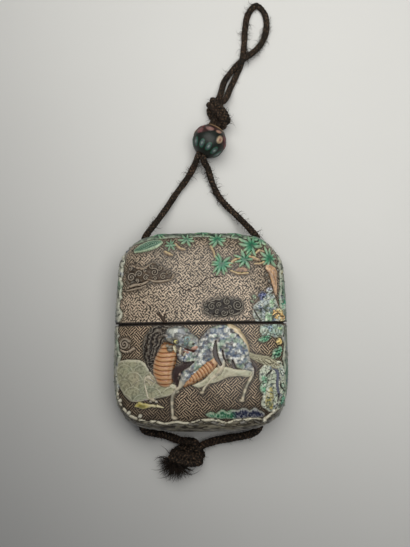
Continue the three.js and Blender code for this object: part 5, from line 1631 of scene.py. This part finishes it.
blades = np.sin(7.5 * (u + 0.35 * v) + 12 * rough(u, v, 1.6, 82))
share = unit((u - 10.8 + uneven(u, v, 2.0, 87, 2)) / 1.6)
tone = blend((26, 98, 66), (20, 28, 60), share)
tone = blend(tone, (110, 146, 116), unit(blades + 2 * rough(u, v, 0.9, 85) - 1.6) * (1 - 0.7 * share))
relief.put(slab(inside, 0.75, 0.6) + (0.05 * blades + 0.7 * rough(u, v, 1.0, 86) - 0.35) * (inside > 0),
           tone)
relief.paint(unit(1 - np.abs(inside - 0.15) / 0.22) * (v > -29.2) * 0.4, (150, 160, 130))
inside = area(u, v, PATCH, 0.7) + uneven(u, v, 1.0, 83, 0.5)
tone = blend((176, 160, 62), (196, 184, 140), unit((u + 19.5) / 2.5))
tone = flecked(tone, u, v, [((120, 112, 50), 1.1, 84, 0.55, 6)])
relief.put(slab(inside, 0.5, 0.6), tone)
for x, y, wide, tall, colour in ((-22.4, -24.5, 1.1, 0.6, (112, 92, 108)),
                                 (-19.4, -24.2, 1.0, 0.5, (128, 110, 116)),
                                 (-16.4, -24.2, 0.55, 0.8, (176, 168, 158)),
                                 (-15.4, -25.0, 0.5, 0.8, (168, 160, 150)),
                                 (-17.4, -24.9, 0.5, 0.7, (150, 140, 130)),
                                 (-15.9, -23.8, 0.4, 0.7, (30, 26, 26))):
    relief.put(lump(u, v, x, y, wide, 0.5, tall), colour, 0.06)
for x, y in ((-16.4, -24.4), (-15.3, -25.2), (-17.3, -25.1)):
    relief.paint(unit((0.26 - np.hypot(u - x, v - y)) / 0.1), (20, 18, 18))
# Painted shade in the hollows and a painted highlight on the high edges.
relief.paint_shade_and_edge_light((30, 26, 18), 0.9, 0.4, 0.16)
relief.piece("grass_bank", foot_enamel, "case_porcelain")

# ---------------------------------------------------------------------------------------------
# Grit on the borders and rocks: small grains of fired clay pressed into the wet glaze to look like moss,
# scattered over the moulded forms, dark green to cream.
grit_finish, tree, shader = blank_material("mossy_grit", Roughness=0.5, Coat_Weight=0.2)
grains = noise(tree, object_place(tree, 0.9), 1.0, 3.0).outputs["Fac"]
shades = [(0.36, (14, 22, 14)), (0.45, (30, 66, 42)), (0.52, (180, 190, 150)), (0.62, (380, 370, 290)),
          (0.70, (60, 48, 30))]
surface(tree, shader, ramp(tree, grains, shades))
golden = (1 + math.sqrt(5)) / 2
signs = [(x, y) for x in (-1, 1) for y in (-1, 1)]
corners = [(x, y * golden, 0) for x, y in signs]
corners += [(0, x, y * golden) for x, y in signs]
corners += [(x * golden, 0, y) for x, y in signs]
corners = np.array(corners) / np.linalg.norm(corners[0])
faces = []
for a in range(12):
    for b in range(a + 1, 12):
        for c in range(b + 1, 12):
            if max(np.linalg.norm(corners[i] - corners[j]) for i, j in ((a, b), (b, c), (a, c))) < 1.1:
                outward = np.cross(corners[b] - corners[a], corners[c] - corners[a]).dot(corners[a]) > 0
                faces.append((a, b, c) if outward else (a, c, b))
grain = piece_from("grain", corners * [1, 1, 0.8], faces, [])
mossy = [row for row in LAID if "border" in row[1].name or "rocks" in row[1].name]
for number, (section, form) in enumerate(mossy):
    grit = scattered(f"grit_{form.name}", form, grain, grit_finish, 0.5, (0.10, 0.30), 0.5, (0.5, 0.48),
                     21 + number)
    dressed(grit, SLOT[section])
bpy.data.objects.remove(grain)

# ---------------------------------------------------------------------------------------------
# Painted shade on the ground round every moulded form: how near each place of the two shells is to a
# form laid on it, kept on the shells for their fret finish.
for shell_piece, slot in ((lid_shell, "lid"), (lower_shell, "lower")):
    forms = [piece for name, piece in LAID if name == slot and "crack" not in piece.name
             and "sprig" not in piece.name]
    total = sum(len(piece.data.vertices) // 2 for piece in forms)
    tree_of_places = KDTree(total)
    count = 0
    for piece in forms:
        places = np.zeros(len(piece.data.vertices) * 3)
        piece.data.vertices.foreach_get("co", places)
        for place in places.reshape(-1, 3)[: len(piece.data.vertices) // 2]:
            tree_of_places.insert(place, count)
            count += 1
    tree_of_places.balance()
    away = np.array([tree_of_places.find(vertex.co)[2] for vertex in shell_piece.data.vertices]) / MM
    pool = shell_piece.data.attributes.new("pool", "FLOAT", "POINT")
    pool.data.foreach_set("value", unit(1.15 - away / 1.2) ** 1.5)

size = {"cad": [list(map(float, corner)) for corner in cad_box],
        "visual": [list(map(float, c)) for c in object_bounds()]}
